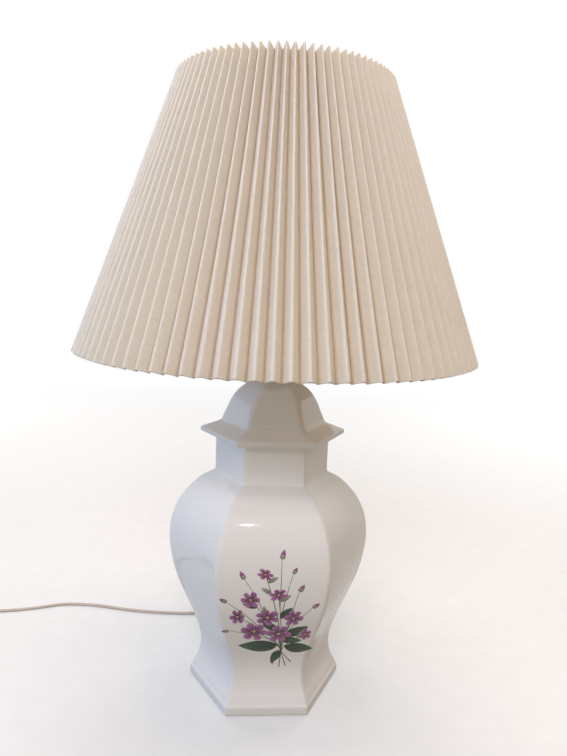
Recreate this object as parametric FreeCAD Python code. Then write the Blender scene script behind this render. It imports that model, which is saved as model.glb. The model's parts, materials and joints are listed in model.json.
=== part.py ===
"""Ceramic table lamp: a six-sided lidded jar that carries a socket, a harp and a pleated cone shade.

Millimetres, +Z up. The origin is on the table under the lamp's axis, and one flat side of the
jar faces -Y. Six-sided sizes are given to the corners, round ones as radii.
"""
import FreeCAD
import Part
import math
import os

V = FreeCAD.Vector
UP = V(0, 0, 1)
SIDES = 6

# Clearances and cuts
overrun = 5.0
fit_gap = 0.3
running_gap = 0.08
hole_gap = 0.6

# Felt pad under the foot
felt_thickness = 1.0
felt_inset = 2.4

# Jar
foot_corner = 88.8
foot_height = 9.4
foot_ledge = 0.9
waist_corner = 77.4
waist_z = 45.0
belly_corner = 115.8
belly_z = 178.0
neck_corner = 64.5
neck_root_z = 254.0
neck_top_z = 299.0
jar_wall = 6.0
jar_floor = 8.0
edge_rounding = 3.6
foot_wall = 9.0
foot_recess = 37.0

# Jar's side line: each pair is how far up its stretch, and how wide between its two ends
flare_shares = ((0.0, 1.0), (0.1, 0.86), (0.22, 0.68), (0.39, 0.4), (0.57, 0.185), (0.78, 0.045), (1.0, 0.0))
swell_shares = ((0.1, 0.045), (0.2, 0.157), (0.34, 0.36), (0.48, 0.577), (0.63, 0.783), (0.8, 0.932),
                (1.0, 1.0))
shoulder_shares = ((0.18, 0.977), (0.34, 0.921), (0.5, 0.822), (0.66, 0.67), (0.78, 0.508), (0.88, 0.345),
                   (0.95, 0.175), (1.0, 0.0))

# Lid
brim_corner = 82.0
brim_thickness = 4.8
brim_rise = 8.0
dome_root_corner = 59.5
lid_height = 61.0
lid_top_corner = 24.0
lid_wall = 5.0
lid_lip_depth = 12.0
lid_lip_gap = 0.6
dome_shares = ((0.14, 0.935), (0.28, 0.85), (0.42, 0.775), (0.56, 0.678), (0.68, 0.572), (0.78, 0.44),
               (0.87, 0.28), (0.95, 0.115), (1.0, 0.0))

# Threaded pipe and the stack that it clamps
pipe_radius = 5.0
pipe_bore = 3.5
washer_radius = 20.0
washer_thickness = 1.6
lock_washer_radius = 9.0
lock_washer_thickness = 1.2
nut_flats = 17.0
nut_height = 5.0
pipe_below_nut = 3.0
vase_cap_radius = 21.0
vase_cap_height = 7.0
vase_cap_wall = 1.2
vase_cap_crown_share = 0.55
check_ring_radius = 9.0
check_ring_height = 8.0
check_ring_waist_share = 0.72
saddle_nut_height = 3.0
saddle_nut_flats = 14.0

# Harp: the saddle is clamped on the pipe, and the loop plugs onto its two posts
saddle_half_width = 23.0
saddle_thickness = 2.0
saddle_strip_width = 14.0
saddle_post_height = 25.0
harp_wire_radius = 1.9
harp_height = 278.0
harp_half_width = 57.0
harp_leg_margin = 2.0
harp_widest_shares = (0.36, 0.62)
harp_crown_half_width = 15.0
harp_crown_drop = 14.0
harp_seat_radius = 9.0
harp_seat_thickness = 3.0
harp_stud_radius = 3.1
harp_stud_height = 15.0
ferrule_radius = 3.8
ferrule_length = 14.0
ferrule_travel = 12.0
ferrule_rounding = 0.75

# Socket
socket_collar_radius = 7.5
socket_collar_height = 6.0
socket_cap_height = 19.0
socket_cap_radius = 17.7
socket_metal = 0.6
socket_bell_share = 0.86
socket_shell_radius = 17.0
socket_shell_height = 48.0
socket_overlap = 5.0
sleeve_wall = 1.0
socket_base_radius = 14.7
socket_base_height = 22.0
terminal_block_radius = 10.5
terminal_block_height = 9.0
terminal_block_lift = 2.6
screw_shell_bore = 13.4
screw_shell_wall = 0.4
screw_shell_height = 22.0
contact_width = 5.0
contact_thickness = 0.5
contact_rise = 2.2
contact_reach = 8.0
contact_flat_share = 0.4
terminal_head_radius = 3.0
terminal_head_height = 1.8
terminal_shank_radius = 1.5
terminal_shank_length = 5.0
set_screw_radius = 1.5
set_screw_head_radius = 2.4
set_screw_head_height = 1.6
set_screw_slot = 0.5
switch_above_base = 9.0
shaft_radius = 2.0
shaft_depth = 10.0
shaft_reach = 27.0
knob_length = 13.0
knob_width = 16.0
knob_thickness = 3.6
knob_hub_radius = 3.6
knob_hub_length = 6.0
knob_overlap = 1.2

# Bulb
bulb_radius = 30.0
bulb_length = 110.0
bulb_cap_radius = 12.9
bulb_cap_height = 21.0
bulb_tip_height = 3.0
bulb_tip_radius = 7.5
bulb_contact_radius = 4.5
bulb_contact_height = 1.2
bulb_contact_rounding = 0.4
bulb_glass_wall = 0.7
bulb_neck_radius = 12.2
bulb_join_angle = 38.0
bulb_lean_shares = (0.42, 0.60)
bulb_cap_rim = 0.8
bulb_stem_radius = 4.0
bulb_stem_foot_radius = 6.4
bulb_stem_height = 42.0
bulb_stem_flare_share = 0.33
filament_radius = 0.5
filament_half_span = 14.0
filament_rise = 16.0
filament_crown_share = 0.75
filament_shoulder_share = 0.75

# Shade: the ridges are the outer folds of the pleats
ridge_bottom_radius = 215.9
ridge_top_radius = 114.0
ridge_rise = 279.0
ridge_above_seat = 17.6
pleat_count = 92
pleat_leg = 12.6
cover_wall = 1.6
ring_wire_radius = 1.5
ring_inset = 2.4
rib_count = 4
rib_turn = 45.0
spider_arms = 3
spider_turn = -90.0
spider_hub_radius = 12.0
spider_hub_thickness = 1.6
spider_flat_share = 0.42
spider_rise_share = 0.86

# A rounded corner of a route uses this share of its shorter run on each side
bend_share = 0.45

# Finial
finial_base_radius = 8.0
finial_waist_radius = 4.4
finial_ball_radius = 7.6
finial_height = 33.0
finial_collar_height = 5.2
finial_bore_depth = 15.5
finial_neck_angle = 53.0

# Mains cord
cord_radius = 2.5
cord_length = 1800.0
outlet_z = 18.0
outlet_bore = 4.9
outlet_seat_inset = 2.6
bushing_flange_radius = 7.0
bushing_flange = 2.4
bushing_snout = 11.0
bushing_tip_radius = 3.7
bushing_tail = 9.0
inner_bend_radius = 8.5
coil_gap = 1.4
coil_centre_x = -412.0
turns_in = 3.0
turns_out = 3.5
coil_tail = 25.0
cord_points = (
    (0.0, 0.0, 0.0),
    (0.0, 21.0, 0.0),
    (-13.0, 42.0, -6.5),
    (-46.0, 51.0, -13.4),
    (-88.0, 42.0, -15.5),
    (-136.0, 43.5, -15.5),
    (-188.0, 51.5, -15.5),
    (-236.0, 65.0, -15.5),
    (-281.0, 68.5, -15.5),
    (-316.0, 56.0, -15.5),
    (-360.0, 48.4, -15.5),
)

# Plug
plug_length = 30.0
plug_width = 25.0
plug_nose_width = 16.0
plug_rounding = 2.4
plug_shoulder_share = 0.45
plug_nose_share = 0.7
blade_length = 17.5
blade_height = 6.35
blade_thickness = 1.5
blade_spacing = 12.7

# Places that follow from the sizes above
lid_top_z = neck_top_z + lid_height
jar_floor_z = felt_thickness + foot_recess
jar_inside_z = jar_floor_z + jar_floor
foot_top_z = felt_thickness + foot_height
washer_z = jar_floor_z - washer_thickness
lock_washer_z = washer_z - lock_washer_thickness
nut_z = lock_washer_z - nut_height
pipe_bottom_z = nut_z - pipe_below_nut
check_ring_z = lid_top_z + vase_cap_height
saddle_z = check_ring_z + check_ring_height
saddle_nut_z = saddle_z + saddle_thickness
socket_z = saddle_nut_z + saddle_nut_height
pipe_top_z = socket_z + socket_collar_height
shell_z = socket_z + socket_cap_height - socket_overlap
terminal_block_z = pipe_top_z + terminal_block_lift
socket_base_z = terminal_block_z + terminal_block_height
screw_shell_z = socket_base_z + socket_base_height
switch_z = socket_base_z + switch_above_base
bulb_z = screw_shell_z + screw_shell_wall + contact_rise + contact_thickness
bulb_cap_z = bulb_z + bulb_contact_height + bulb_tip_height
bulb_glass_z = bulb_cap_z + bulb_cap_height
saddle_post_top = saddle_z + saddle_post_height
harp_foot_z = saddle_post_top + fit_gap
harp_leg_height = (ferrule_length / 2 + ferrule_travel + harp_leg_margin) / (1 - bend_share)
harp_seat_z = saddle_z + harp_height
ferrule_z = harp_foot_z - ferrule_length / 2
spider_z = harp_seat_z
finial_z = spider_z + spider_hub_thickness + fit_gap
ridge_top_z = harp_seat_z + ridge_above_seat
ridge_bottom_z = ridge_top_z - ridge_rise
cone_angle = math.atan2(ridge_bottom_radius - ridge_top_radius, ridge_rise)


def save(name, shape):
    """Writes one node and prints its size, so that a lost volume shows at once."""
    solids = shape.Solids
    whole = solids[0] if len(solids) == 1 else Part.makeCompound(solids)
    whole.exportStep(os.path.join("parts", name + ".step"))
    print(f"{name}: {len(solids)} solid(s), {shape.Volume:.1f} mm3, valid {shape.isValid()}")


def polar(radius, degrees, z=0.0):
    angle = math.radians(degrees)
    return V(radius * math.cos(angle), radius * math.sin(angle), z)


def six_sided(corner, z, rounding=0.0):
    """Six-sided outline with its corners on +X and -X, each corner rounded by an arc."""
    corners = [polar(corner, 360.0 / SIDES * i, z) for i in range(SIDES)]
    if rounding <= 0:
        return Part.makePolygon(corners + corners[:1])
    half = math.radians(180.0 / SIDES)
    back = rounding * math.tan(half)
    bulge = rounding * (1 / math.cos(half) - 1)
    edges = []
    for i in range(SIDES):
        here = corners[i]
        before = (corners[i - 1] - here).normalize()
        after = (corners[(i + 1) % SIDES] - here).normalize()
        inward = (V(0, 0, z) - here).normalize()
        start = here + before * back
        end = here + after * back
        edges.append(Part.Arc(start, here + inward * bulge, end).toShape())
        next_corner = corners[(i + 1) % SIDES]
        edges.append(Part.LineSegment(end, next_corner - after * back).toShape())
    return Part.Wire(edges)


def six_sided_loft(stations, rounding=0.0, ruled=False):
    """Solid through six-sided outlines, each given as (corner, z)."""
    wires = [six_sided(corner, z, rounding) for corner, z in stations]
    return Part.makeLoft(wires, True, ruled)


def cylinder(radius, z_low, z_high):
    return Part.makeCylinder(radius, z_high - z_low, V(0, 0, z_low), UP)


def tube(outer, inner, z_low, z_high):
    return cylinder(outer, z_low, z_high).cut(cylinder(inner, z_low - overrun, z_high + overrun))


def turned(points):
    """Solid of revolution about Z from (radius, z) points joined by straight lines."""
    outline = [V(radius, 0, z) for radius, z in points]
    face = Part.Face(Part.makePolygon(outline + outline[:1]))
    return face.revolve(V(0, 0, 0), UP, 360)


def turned_edges(edges):
    """Solid of revolution about Z from edges that form a closed outline in the XZ plane."""
    return Part.Face(Part.Wire(edges)).revolve(V(0, 0, 0), UP, 360)


def line(start, end):
    return Part.LineSegment(start, end).toShape()


def hex_nut(flats, z_low, height, bore):
    corner = flats / 2 / math.cos(math.radians(180.0 / SIDES))
    body = Part.Face(six_sided(corner, z_low)).extrude(V(0, 0, height))
    return body.cut(cylinder(bore, z_low - overrun, z_low + height + overrun))


def rounded_route(points, report=""):
    """Straight runs joined by tangent arcs, each as large as its two runs allow."""
    edges = []
    radii = []
    start = points[0]
    for i in range(1, len(points) - 1):
        corner = points[i]
        back = points[i - 1] - corner
        ahead = points[i + 1] - corner
        reach = bend_share * min(back.Length, ahead.Length)
        back.normalize()
        ahead.normalize()
        half_turn = (math.pi - back.getAngle(ahead)) / 2
        radius = reach / math.tan(half_turn)
        radii.append(radius)
        middle = (back + ahead).normalize() * (radius / math.cos(half_turn) - radius)
        edges.append(line(start, corner + back * reach))
        edges.append(Part.Arc(corner + back * reach, corner + middle, corner + ahead * reach).toShape())
        start = corner + ahead * reach
    edges.append(line(start, points[-1]))
    if report:
        print(f"{report}: radii {[round(r, 1) for r in radii]}")
    return Part.Wire(edges)


def swept(path, radius):
    """Round bar along a path of lines and arcs."""
    start = path.Edges[0].valueAt(path.Edges[0].FirstParameter)
    tangent = path.Edges[0].tangentAt(path.Edges[0].FirstParameter)
    section = Part.Wire(Part.makeCircle(radius, start, tangent))
    return path.makePipeShell([section], True, False)


def jar_outline(inset=0.0):
    """Stations (corner, z) of the jar's side, from the foot's ledge up to the neck."""
    flare_corner = foot_corner - foot_ledge
    stations = [(waist_corner + (flare_corner - waist_corner) * wide - inset,
                 foot_top_z + (waist_z - foot_top_z) * up) for up, wide in flare_shares]
    stations += [(waist_corner + (belly_corner - waist_corner) * wide - inset,
                  waist_z + (belly_z - waist_z) * up) for up, wide in swell_shares]
    stations += [(neck_corner + (belly_corner - neck_corner) * wide - inset,
                  belly_z + (neck_root_z - belly_z) * up) for up, wide in shoulder_shares]
    return stations


def outlet_axis_cylinder(radius, y_low, y_high):
    return Part.makeCylinder(radius, y_high - y_low, V(0, y_low, outlet_z), V(0, 1, 0))


def across(corner):
    """Distance from the axis to a flat side."""
    return corner * math.cos(math.radians(180.0 / SIDES))


def outlet_seat_y():
    """The flange's seat lies a little inside the flare at the height of the outlet."""
    rise = (outlet_z - foot_top_z) / (waist_z - foot_top_z)
    flare_corner = foot_corner - foot_ledge
    low = [pair for pair in flare_shares if pair[0] <= rise][-1]
    high = [pair for pair in flare_shares if pair[0] > rise][0]
    part_way = (rise - low[0]) / (high[0] - low[0])
    wide = low[1] + (high[1] - low[1]) * part_way
    return across(waist_corner + (flare_corner - waist_corner) * wide) - outlet_seat_inset


def make_jar_body():
    plinth = six_sided_loft([(foot_corner, felt_thickness), (foot_corner, foot_top_z)], edge_rounding, True)
    side = six_sided_loft(jar_outline(), edge_rounding)
    neck = six_sided_loft([(neck_corner, neck_root_z), (neck_corner, neck_top_z)], edge_rounding, True)
    wall_at_corner = jar_wall / math.cos(math.radians(180.0 / SIDES))
    inside = [station for station in jar_outline(wall_at_corner) if station[1] > jar_inside_z]
    first_corner = inside[0][0]
    cavity = six_sided_loft([(first_corner, jar_inside_z)] + inside[1:])
    throat_corner = neck_corner - wall_at_corner
    throat = six_sided_loft([(throat_corner, neck_root_z), (throat_corner, neck_top_z + overrun)], 0.0, True)
    foot_wall_at_corner = foot_wall / math.cos(math.radians(180.0 / SIDES))
    recess = six_sided_loft([(foot_corner - foot_wall_at_corner, felt_thickness - overrun),
                             (foot_corner - foot_wall_at_corner, felt_thickness),
                             (waist_corner - foot_wall_at_corner, jar_floor_z)], 0.0, True)
    jar = plinth.fuse([side, neck]).removeSplitter()
    seat_y = outlet_seat_y()
    holes = [cavity, throat, recess,
             cylinder(pipe_radius + hole_gap, jar_floor_z - overrun, jar_inside_z + overrun),
             outlet_axis_cylinder(outlet_bore, 0, foot_corner + overrun),
             outlet_axis_cylinder(bushing_flange_radius + fit_gap, seat_y, foot_corner + overrun)]
    return jar.cut(holes)


def make_felt_pad():
    corner = foot_corner - felt_inset
    return Part.Face(six_sided(corner, 0, edge_rounding)).extrude(V(0, 0, felt_thickness))


def lid_outline(inset=0.0):
    """Stations of the dome, from its root on the brim to its flat top."""
    root_z = neck_top_z + brim_thickness + brim_rise
    stations = [(dome_root_corner - inset, root_z)]
    stations += [(lid_top_corner + (dome_root_corner - lid_top_corner) * wide - inset,
                  root_z + (lid_top_z - root_z) * up) for up, wide in dome_shares]
    return stations


def make_jar_lid():
    brim_z = neck_top_z + brim_thickness
    root_z = brim_z + brim_rise
    brim = six_sided_loft([(brim_corner, neck_top_z), (brim_corner, brim_z)], edge_rounding, True)
    slope = six_sided_loft([(brim_corner, brim_z), (dome_root_corner, root_z)], edge_rounding, True)
    dome = six_sided_loft(lid_outline(), edge_rounding)
    wall_at_corner = lid_wall / math.cos(math.radians(180.0 / SIDES))
    lip_corner = neck_corner - jar_wall / math.cos(math.radians(180.0 / SIDES)) - lid_lip_gap
    lip = six_sided_loft([(lip_corner, neck_top_z - lid_lip_depth), (lip_corner, neck_top_z)], 0.0, True)
    hollow_corner = lip_corner - wall_at_corner
    ceiling = [(corner - wall_at_corner, z - lid_wall) for corner, z in lid_outline()]
    rising = [station for station in ceiling if station[0] < hollow_corner and station[1] > neck_top_z]
    hollow = six_sided_loft([(hollow_corner, neck_top_z)] + rising, 0.0, True)
    throat = six_sided_loft([(hollow_corner, neck_top_z - lid_lip_depth - overrun),
                             (hollow_corner, neck_top_z)], 0.0, True)
    lid = brim.fuse([slope, dome, lip]).removeSplitter()
    bore = cylinder(pipe_radius + hole_gap, neck_top_z, lid_top_z + overrun)
    return lid.cut([hollow, throat, bore])


def make_base_fasteners():
    bore = pipe_radius + running_gap
    washer = tube(washer_radius, bore, washer_z, jar_floor_z)
    lock_washer = tube(lock_washer_radius, bore, lock_washer_z, washer_z)
    slit = Part.makeBox(lock_washer_radius, lock_washer_thickness, lock_washer_thickness + overrun,
                        V(bore / 2, -lock_washer_thickness / 2, lock_washer_z - overrun / 2))
    nut = hex_nut(nut_flats, nut_z, nut_height, bore)
    return washer, lock_washer.cut(slit), nut


def make_pipe():
    return tube(pipe_radius, pipe_bore, pipe_bottom_z, pipe_top_z)


def make_vase_cap():
    """Spun brass cup, closed by its crown, that covers the hole in the lid."""
    foot = lid_top_z
    crown = foot + vase_cap_height
    shoulder = vase_cap_radius * vase_cap_crown_share
    outer = [V(vase_cap_radius, 0, foot), V(vase_cap_radius, 0, foot + vase_cap_wall),
             V(shoulder, 0, crown), V(pipe_radius + running_gap, 0, crown)]
    inner_z = crown - vase_cap_wall
    inner = [V(pipe_radius + running_gap, 0, inner_z), V(shoulder - vase_cap_wall, 0, inner_z),
             V(vase_cap_radius - vase_cap_wall, 0, foot)]
    middle = V((vase_cap_radius + shoulder) / 2 + vase_cap_wall, 0, (foot + crown) / 2 + vase_cap_wall)
    inner_middle = middle - V(vase_cap_wall, 0, vase_cap_wall)
    edges = [line(outer[0], outer[1]), Part.Arc(outer[1], middle, outer[2]).toShape(),
             line(outer[2], outer[3]), line(outer[3], inner[0]), line(inner[0], inner[1]),
             Part.Arc(inner[1], inner_middle, inner[2]).toShape(), line(inner[2], outer[0])]
    return turned_edges(edges)


def make_check_ring():
    """Turned brass neck between the vase cap and the harp saddle, waisted by an arc."""
    top = check_ring_z + check_ring_height
    bore = pipe_radius + running_gap
    waist = V(check_ring_radius * check_ring_waist_share, 0, check_ring_z + check_ring_height / 2)
    low, high = V(check_ring_radius, 0, check_ring_z), V(check_ring_radius, 0, top)
    edges = [Part.Arc(low, waist, high).toShape(), line(high, V(bore, 0, top)),
             line(V(bore, 0, top), V(bore, 0, check_ring_z)), line(V(bore, 0, check_ring_z), low)]
    return turned_edges(edges)


def make_harp_saddle():
    """Flat strip with a round post bent up at each end."""
    reach = saddle_half_width + harp_wire_radius
    strip = Part.makeBox(2 * reach, saddle_strip_width, saddle_thickness,
                         V(-reach, -saddle_strip_width / 2, saddle_z))
    post_height = saddle_post_top - saddle_z
    posts = [Part.makeCylinder(harp_wire_radius, post_height, V(side * saddle_half_width, 0, saddle_z))
             for side in (-1, 1)]
    bore = cylinder(pipe_radius + running_gap, saddle_z - overrun, saddle_nut_z + overrun)
    return strip.fuse(posts).cut(bore).removeSplitter()


def harp_route():
    """Centre line of the loop's right half, from its foot to the middle of its crown."""
    crown_z = harp_seat_z - harp_seat_thickness - harp_wire_radius
    span = crown_z - harp_foot_z
    low, high = [harp_foot_z + span * share for share in harp_widest_shares]
    half = [V(saddle_half_width, 0, harp_foot_z),
            V(saddle_half_width, 0, harp_foot_z + harp_leg_height),
            V(harp_half_width, 0, low),
            V(harp_half_width, 0, high),
            V(harp_crown_half_width, 0, crown_z - harp_crown_drop / 2),
            V(harp_crown_half_width / 2, 0, crown_z)]
    mirrored = [V(-point.x, 0, point.z) for point in reversed(half)]
    return half + mirrored


def make_harp():
    loop = swept(rounded_route(harp_route(), "harp"), harp_wire_radius)
    seat = cylinder(harp_seat_radius, harp_seat_z - harp_seat_thickness, harp_seat_z)
    stud = cylinder(harp_stud_radius, harp_seat_z - harp_seat_thickness / 2, harp_seat_z + harp_stud_height)
    return loop, seat.fuse(stud).removeSplitter()


def make_ferrule(side):
    at = V(side * saddle_half_width, 0, ferrule_z)
    outer = Part.makeCylinder(ferrule_radius, ferrule_length, at)
    outer = outer.makeFillet(ferrule_rounding, outer.Edges)
    return outer.cut(Part.makeCylinder(harp_wire_radius + running_gap, ferrule_length, at))


def make_socket_cap():
    """Brass cap: a collar on the pipe that opens into a bell."""
    collar_top = socket_z + socket_collar_height
    top = socket_z + socket_cap_height
    bell_z = top - socket_overlap
    bore = pipe_radius + running_gap
    inner_radius = socket_cap_radius - socket_metal
    swell_outer = V(socket_cap_radius * socket_bell_share, 0, (collar_top + bell_z) / 2 - socket_metal)
    swell_inner = swell_outer + V(-socket_metal, 0, socket_metal)
    under = collar_top - socket_metal
    collar_foot = V(socket_collar_radius, 0, socket_z)
    collar_inside = V(socket_collar_radius, 0, collar_top)
    collar_under = V(socket_collar_radius, 0, under)
    edges = [line(V(bore, 0, socket_z), collar_foot),
             line(collar_foot, collar_under),
             Part.Arc(collar_under, swell_outer, V(socket_cap_radius, 0, bell_z)).toShape(),
             line(V(socket_cap_radius, 0, bell_z), V(socket_cap_radius, 0, top)),
             line(V(socket_cap_radius, 0, top), V(inner_radius, 0, top)),
             line(V(inner_radius, 0, top), V(inner_radius, 0, bell_z)),
             Part.Arc(V(inner_radius, 0, bell_z), swell_inner, collar_inside).toShape(),
             line(collar_inside, V(bore, 0, collar_top)),
             line(V(bore, 0, collar_top), V(bore, 0, socket_z))]
    hole_radius = set_screw_radius + running_gap
    hole = Part.makeCylinder(hole_radius, socket_collar_radius, V(0, 0, set_screw_z()), V(0, 1, 0))
    return turned_edges(edges).cut(hole)


def set_screw_z():
    return socket_z + socket_collar_height / 2 - socket_metal / 2


def make_set_screw():
    start = V(0, pipe_radius + running_gap, set_screw_z())
    shank = Part.makeCylinder(set_screw_radius, socket_collar_radius - pipe_radius, start, V(0, 1, 0))
    head_at = V(0, socket_collar_radius, set_screw_z())
    head = Part.makeCylinder(set_screw_head_radius, set_screw_head_height, head_at, V(0, 1, 0))
    slot_corner = V(-set_screw_head_radius, socket_collar_radius + set_screw_head_height / 2,
                    set_screw_z() - set_screw_slot / 2)
    slot = Part.makeBox(2 * set_screw_head_radius, set_screw_head_height, set_screw_slot, slot_corner)
    return shank.fuse(head).cut(slot).removeSplitter()


def shaft_cylinder(radius, y_near, y_far):
    """Cylinder on the switch's axis, from y_near out to y_far towards -Y."""
    return Part.makeCylinder(radius, y_far - y_near, V(0, -y_near, switch_z), V(0, -1, 0))


def make_socket_shell():
    top = shell_z + socket_shell_height
    bead = socket_metal
    shell = tube(socket_shell_radius, socket_shell_radius - socket_metal, shell_z, top)
    rolled = tube(socket_shell_radius + bead, socket_shell_radius - socket_metal, top - 2 * bead, top)
    window = shaft_cylinder(shaft_radius + hole_gap, 0, socket_shell_radius + overrun)
    return shell.fuse(rolled).removeSplitter().cut(window)


def make_insulating_sleeve():
    outer = socket_shell_radius - socket_metal - fit_gap
    top = shell_z + socket_shell_height - sleeve_wall
    sleeve = tube(outer, outer - sleeve_wall, shell_z, top)
    return sleeve.cut(shaft_cylinder(shaft_radius + hole_gap, 0, socket_shell_radius + overrun))


def terminal_screw_place(side):
    return V(side * terminal_block_radius, 0, terminal_block_z + terminal_block_height / 2)


def make_socket_base():
    """Moulded block that holds the switch and carries the screw shell."""
    upper = cylinder(socket_base_radius, socket_base_z, screw_shell_z)
    lower = cylinder(terminal_block_radius, terminal_block_z, socket_base_z)
    shaft_end = shaft_depth - shaft_radius
    bores = [shaft_cylinder(shaft_radius + running_gap, shaft_end, socket_base_radius + overrun)]
    bore_radius = terminal_shank_radius + running_gap
    bore_depth = terminal_shank_length + running_gap
    for side in (-1, 1):
        bores.append(Part.makeCylinder(bore_radius, bore_depth, terminal_screw_place(side), V(-side, 0, 0)))
    return upper.fuse(lower).removeSplitter().cut(bores)


def make_terminal_screws():
    screws = []
    for side in (-1, 1):
        place = terminal_screw_place(side)
        head = Part.makeCylinder(terminal_head_radius, terminal_head_height, place, V(side, 0, 0))
        shank = Part.makeCylinder(terminal_shank_radius, terminal_shank_length, place, V(-side, 0, 0))
        screws.append(head.fuse(shank).removeSplitter())
    return Part.makeCompound(screws)


def make_screw_shell():
    outer = screw_shell_bore + screw_shell_wall
    top = screw_shell_z + screw_shell_height
    cup = cylinder(outer, screw_shell_z, top)
    inside = cylinder(screw_shell_bore, screw_shell_z + screw_shell_wall, top + overrun)
    hole = cylinder(contact_reach + hole_gap, screw_shell_z - overrun, screw_shell_z + overrun)
    return cup.cut([inside, hole])


def make_centre_contact():
    """Brass strip that lies on the block and springs up to the bulb's tip."""
    floor = screw_shell_z
    flat_end = contact_reach * contact_flat_share
    top = floor + contact_rise
    lower = [V(-contact_reach, 0, floor), V(-flat_end, 0, floor),
             V(flat_end / 2, 0, top), V(contact_reach, 0, top)]
    upper = [point + V(0, 0, contact_thickness) for point in reversed(lower)]
    side = Part.Face(Part.makePolygon(lower + upper + lower[:1]))
    strip = side.extrude(V(0, contact_width, 0))
    strip.translate(V(0, -contact_width / 2, 0))
    return strip


def make_switch():
    """Rotary key switch: a shaft and a flat oval key on a hub."""
    shaft = shaft_cylinder(shaft_radius, shaft_depth, shaft_reach)
    hub = shaft_cylinder(knob_hub_radius, shaft_reach - knob_hub_length, shaft_reach)
    hub_bore = shaft_cylinder(shaft_radius + running_gap, shaft_reach - 2 * knob_hub_length, shaft_reach)
    centre_y = -(shaft_reach + knob_length / 2)
    oval = Part.Ellipse(V(0, 0, 0), knob_width / 2, knob_length / 2 + knob_overlap).toShape()
    plate = Part.Face(Part.Wire(oval)).extrude(V(0, 0, knob_thickness))
    plate.translate(V(0, centre_y, switch_z - knob_thickness / 2))
    behind = Part.makeBox(2 * knob_width, 2 * knob_length, 2 * knob_width,
                          V(-knob_width, -shaft_reach, switch_z - knob_width))
    knob = hub.cut(hub_bore).fuse(plate.cut(behind)).removeSplitter()
    return shaft, knob


def make_bulb():
    """Pear bulb: a sphere blended into the neck by arcs, with its cap and inner parts."""
    top_z = bulb_z + bulb_length
    centre_z = top_z - bulb_radius
    neck_z = bulb_glass_z
    centre = V(0, 0, centre_z)
    lean_out, lean_up = bulb_lean_shares

    def on_ball(radius, degrees):
        angle = math.radians(degrees)
        return centre + V(radius * math.cos(angle), 0, radius * math.sin(angle))

    def outline(radius, neck_radius, z_low):
        crown = on_ball(radius, 90.0)
        side = on_ball(radius, 0.0)
        join = on_ball(radius, -bulb_join_angle)
        neck = V(neck_radius, 0, z_low)
        lean = V(neck_radius + (join.x - neck_radius) * lean_out, 0, z_low + (join.z - z_low) * lean_up)
        foot = V(0, 0, z_low)
        return [Part.Arc(crown, on_ball(radius, bulb_join_angle), side).toShape(),
                Part.Arc(side, on_ball(radius, -bulb_join_angle / 2), join).toShape(),
                Part.Arc(join, lean, neck).toShape(),
                line(neck, foot), line(foot, crown)]

    glass = turned_edges(outline(bulb_radius, bulb_neck_radius, neck_z))
    hollow = turned_edges(outline(bulb_radius - bulb_glass_wall, bulb_neck_radius - bulb_glass_wall,
                                  neck_z + bulb_glass_wall))
    glass = glass.cut(hollow)
    cap = turned([(0, bulb_cap_z), (bulb_tip_radius, bulb_cap_z),
                  (bulb_cap_radius, bulb_cap_z + bulb_tip_height),
                  (bulb_cap_radius, neck_z - bulb_cap_rim),
                  (bulb_cap_radius - bulb_cap_rim, neck_z), (0, neck_z)])
    insulator_z = bulb_z + bulb_contact_height
    insulator = turned([(0, insulator_z), (bulb_contact_radius, insulator_z),
                        (bulb_tip_radius, bulb_cap_z), (0, bulb_cap_z)])
    contact = cylinder(bulb_contact_radius, bulb_z, insulator_z)
    contact = contact.makeFillet(bulb_contact_rounding, [contact.Edges[2]])
    stem_z = neck_z + bulb_glass_wall
    stem = turned([(0, stem_z), (bulb_stem_foot_radius, stem_z),
                   (bulb_stem_radius, stem_z + bulb_stem_height * bulb_stem_flare_share),
                   (bulb_stem_radius / 2, stem_z + bulb_stem_height), (0, stem_z + bulb_stem_height)])
    foot_z = stem_z + bulb_stem_height / 2
    high_z = foot_z + filament_rise
    side_x = bulb_stem_radius + filament_radius
    half = [V(side_x, 0, foot_z), V(filament_half_span, 0, foot_z + filament_rise * filament_shoulder_share),
            V(filament_half_span * filament_crown_share, 0, high_z + filament_rise / 2)]
    wire = half + [V(-point.x, 0, point.z) for point in reversed(half)]
    filament = swept(rounded_route(wire), filament_radius)
    return glass, cap, insulator, contact, stem, filament


def pleat_depth(ridge_radius):
    """How far a valley lies behind its ridges when each leg of the fold keeps its length."""
    half_spacing = math.pi * ridge_radius / pleat_count
    return math.sqrt(pleat_leg ** 2 - half_spacing ** 2)


def pleat_corners(ridge_radius, ridge_z, inset):
    """Ridge and valley points in turn round one end of the cover."""
    points = []
    for i in range(2 * pleat_count):
        depth = inset + (pleat_depth(ridge_radius) if i % 2 else 0.0)
        radius = ridge_radius - depth * math.cos(cone_angle)
        points.append(polar(radius, 180.0 / pleat_count * i, ridge_z - depth * math.sin(cone_angle)))
    return points


def make_pleated_cover():
    """Every leg of the folded cloth is a ruled wall between its ridge line and its valley line."""
    ends = {}
    for side, inset in (("out", 0.0), ("in", cover_wall)):
        ends["low", side] = pleat_corners(ridge_bottom_radius, ridge_bottom_z, inset)
        ends["high", side] = pleat_corners(ridge_top_radius, ridge_top_z, inset)
    strips = (("low", "out", "high", "out"), ("low", "in", "high", "in"),
              ("low", "out", "low", "in"), ("high", "out", "high", "in"))
    faces = []
    for i in range(2 * pleat_count):
        j = (i + 1) % (2 * pleat_count)
        for end_a, side_a, end_b, side_b in strips:
            first = ends[end_a, side_a]
            second = ends[end_b, side_b]
            faces.append(Part.makeRuledSurface(line(first[i], first[j]), line(second[i], second[j])))
    skin = Part.makeCompound(faces)
    skin.sewShape()
    cover = Part.Solid(skin.Shells[0])
    if cover.Volume < 0:
        cover.reverse()
    return cover


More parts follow.
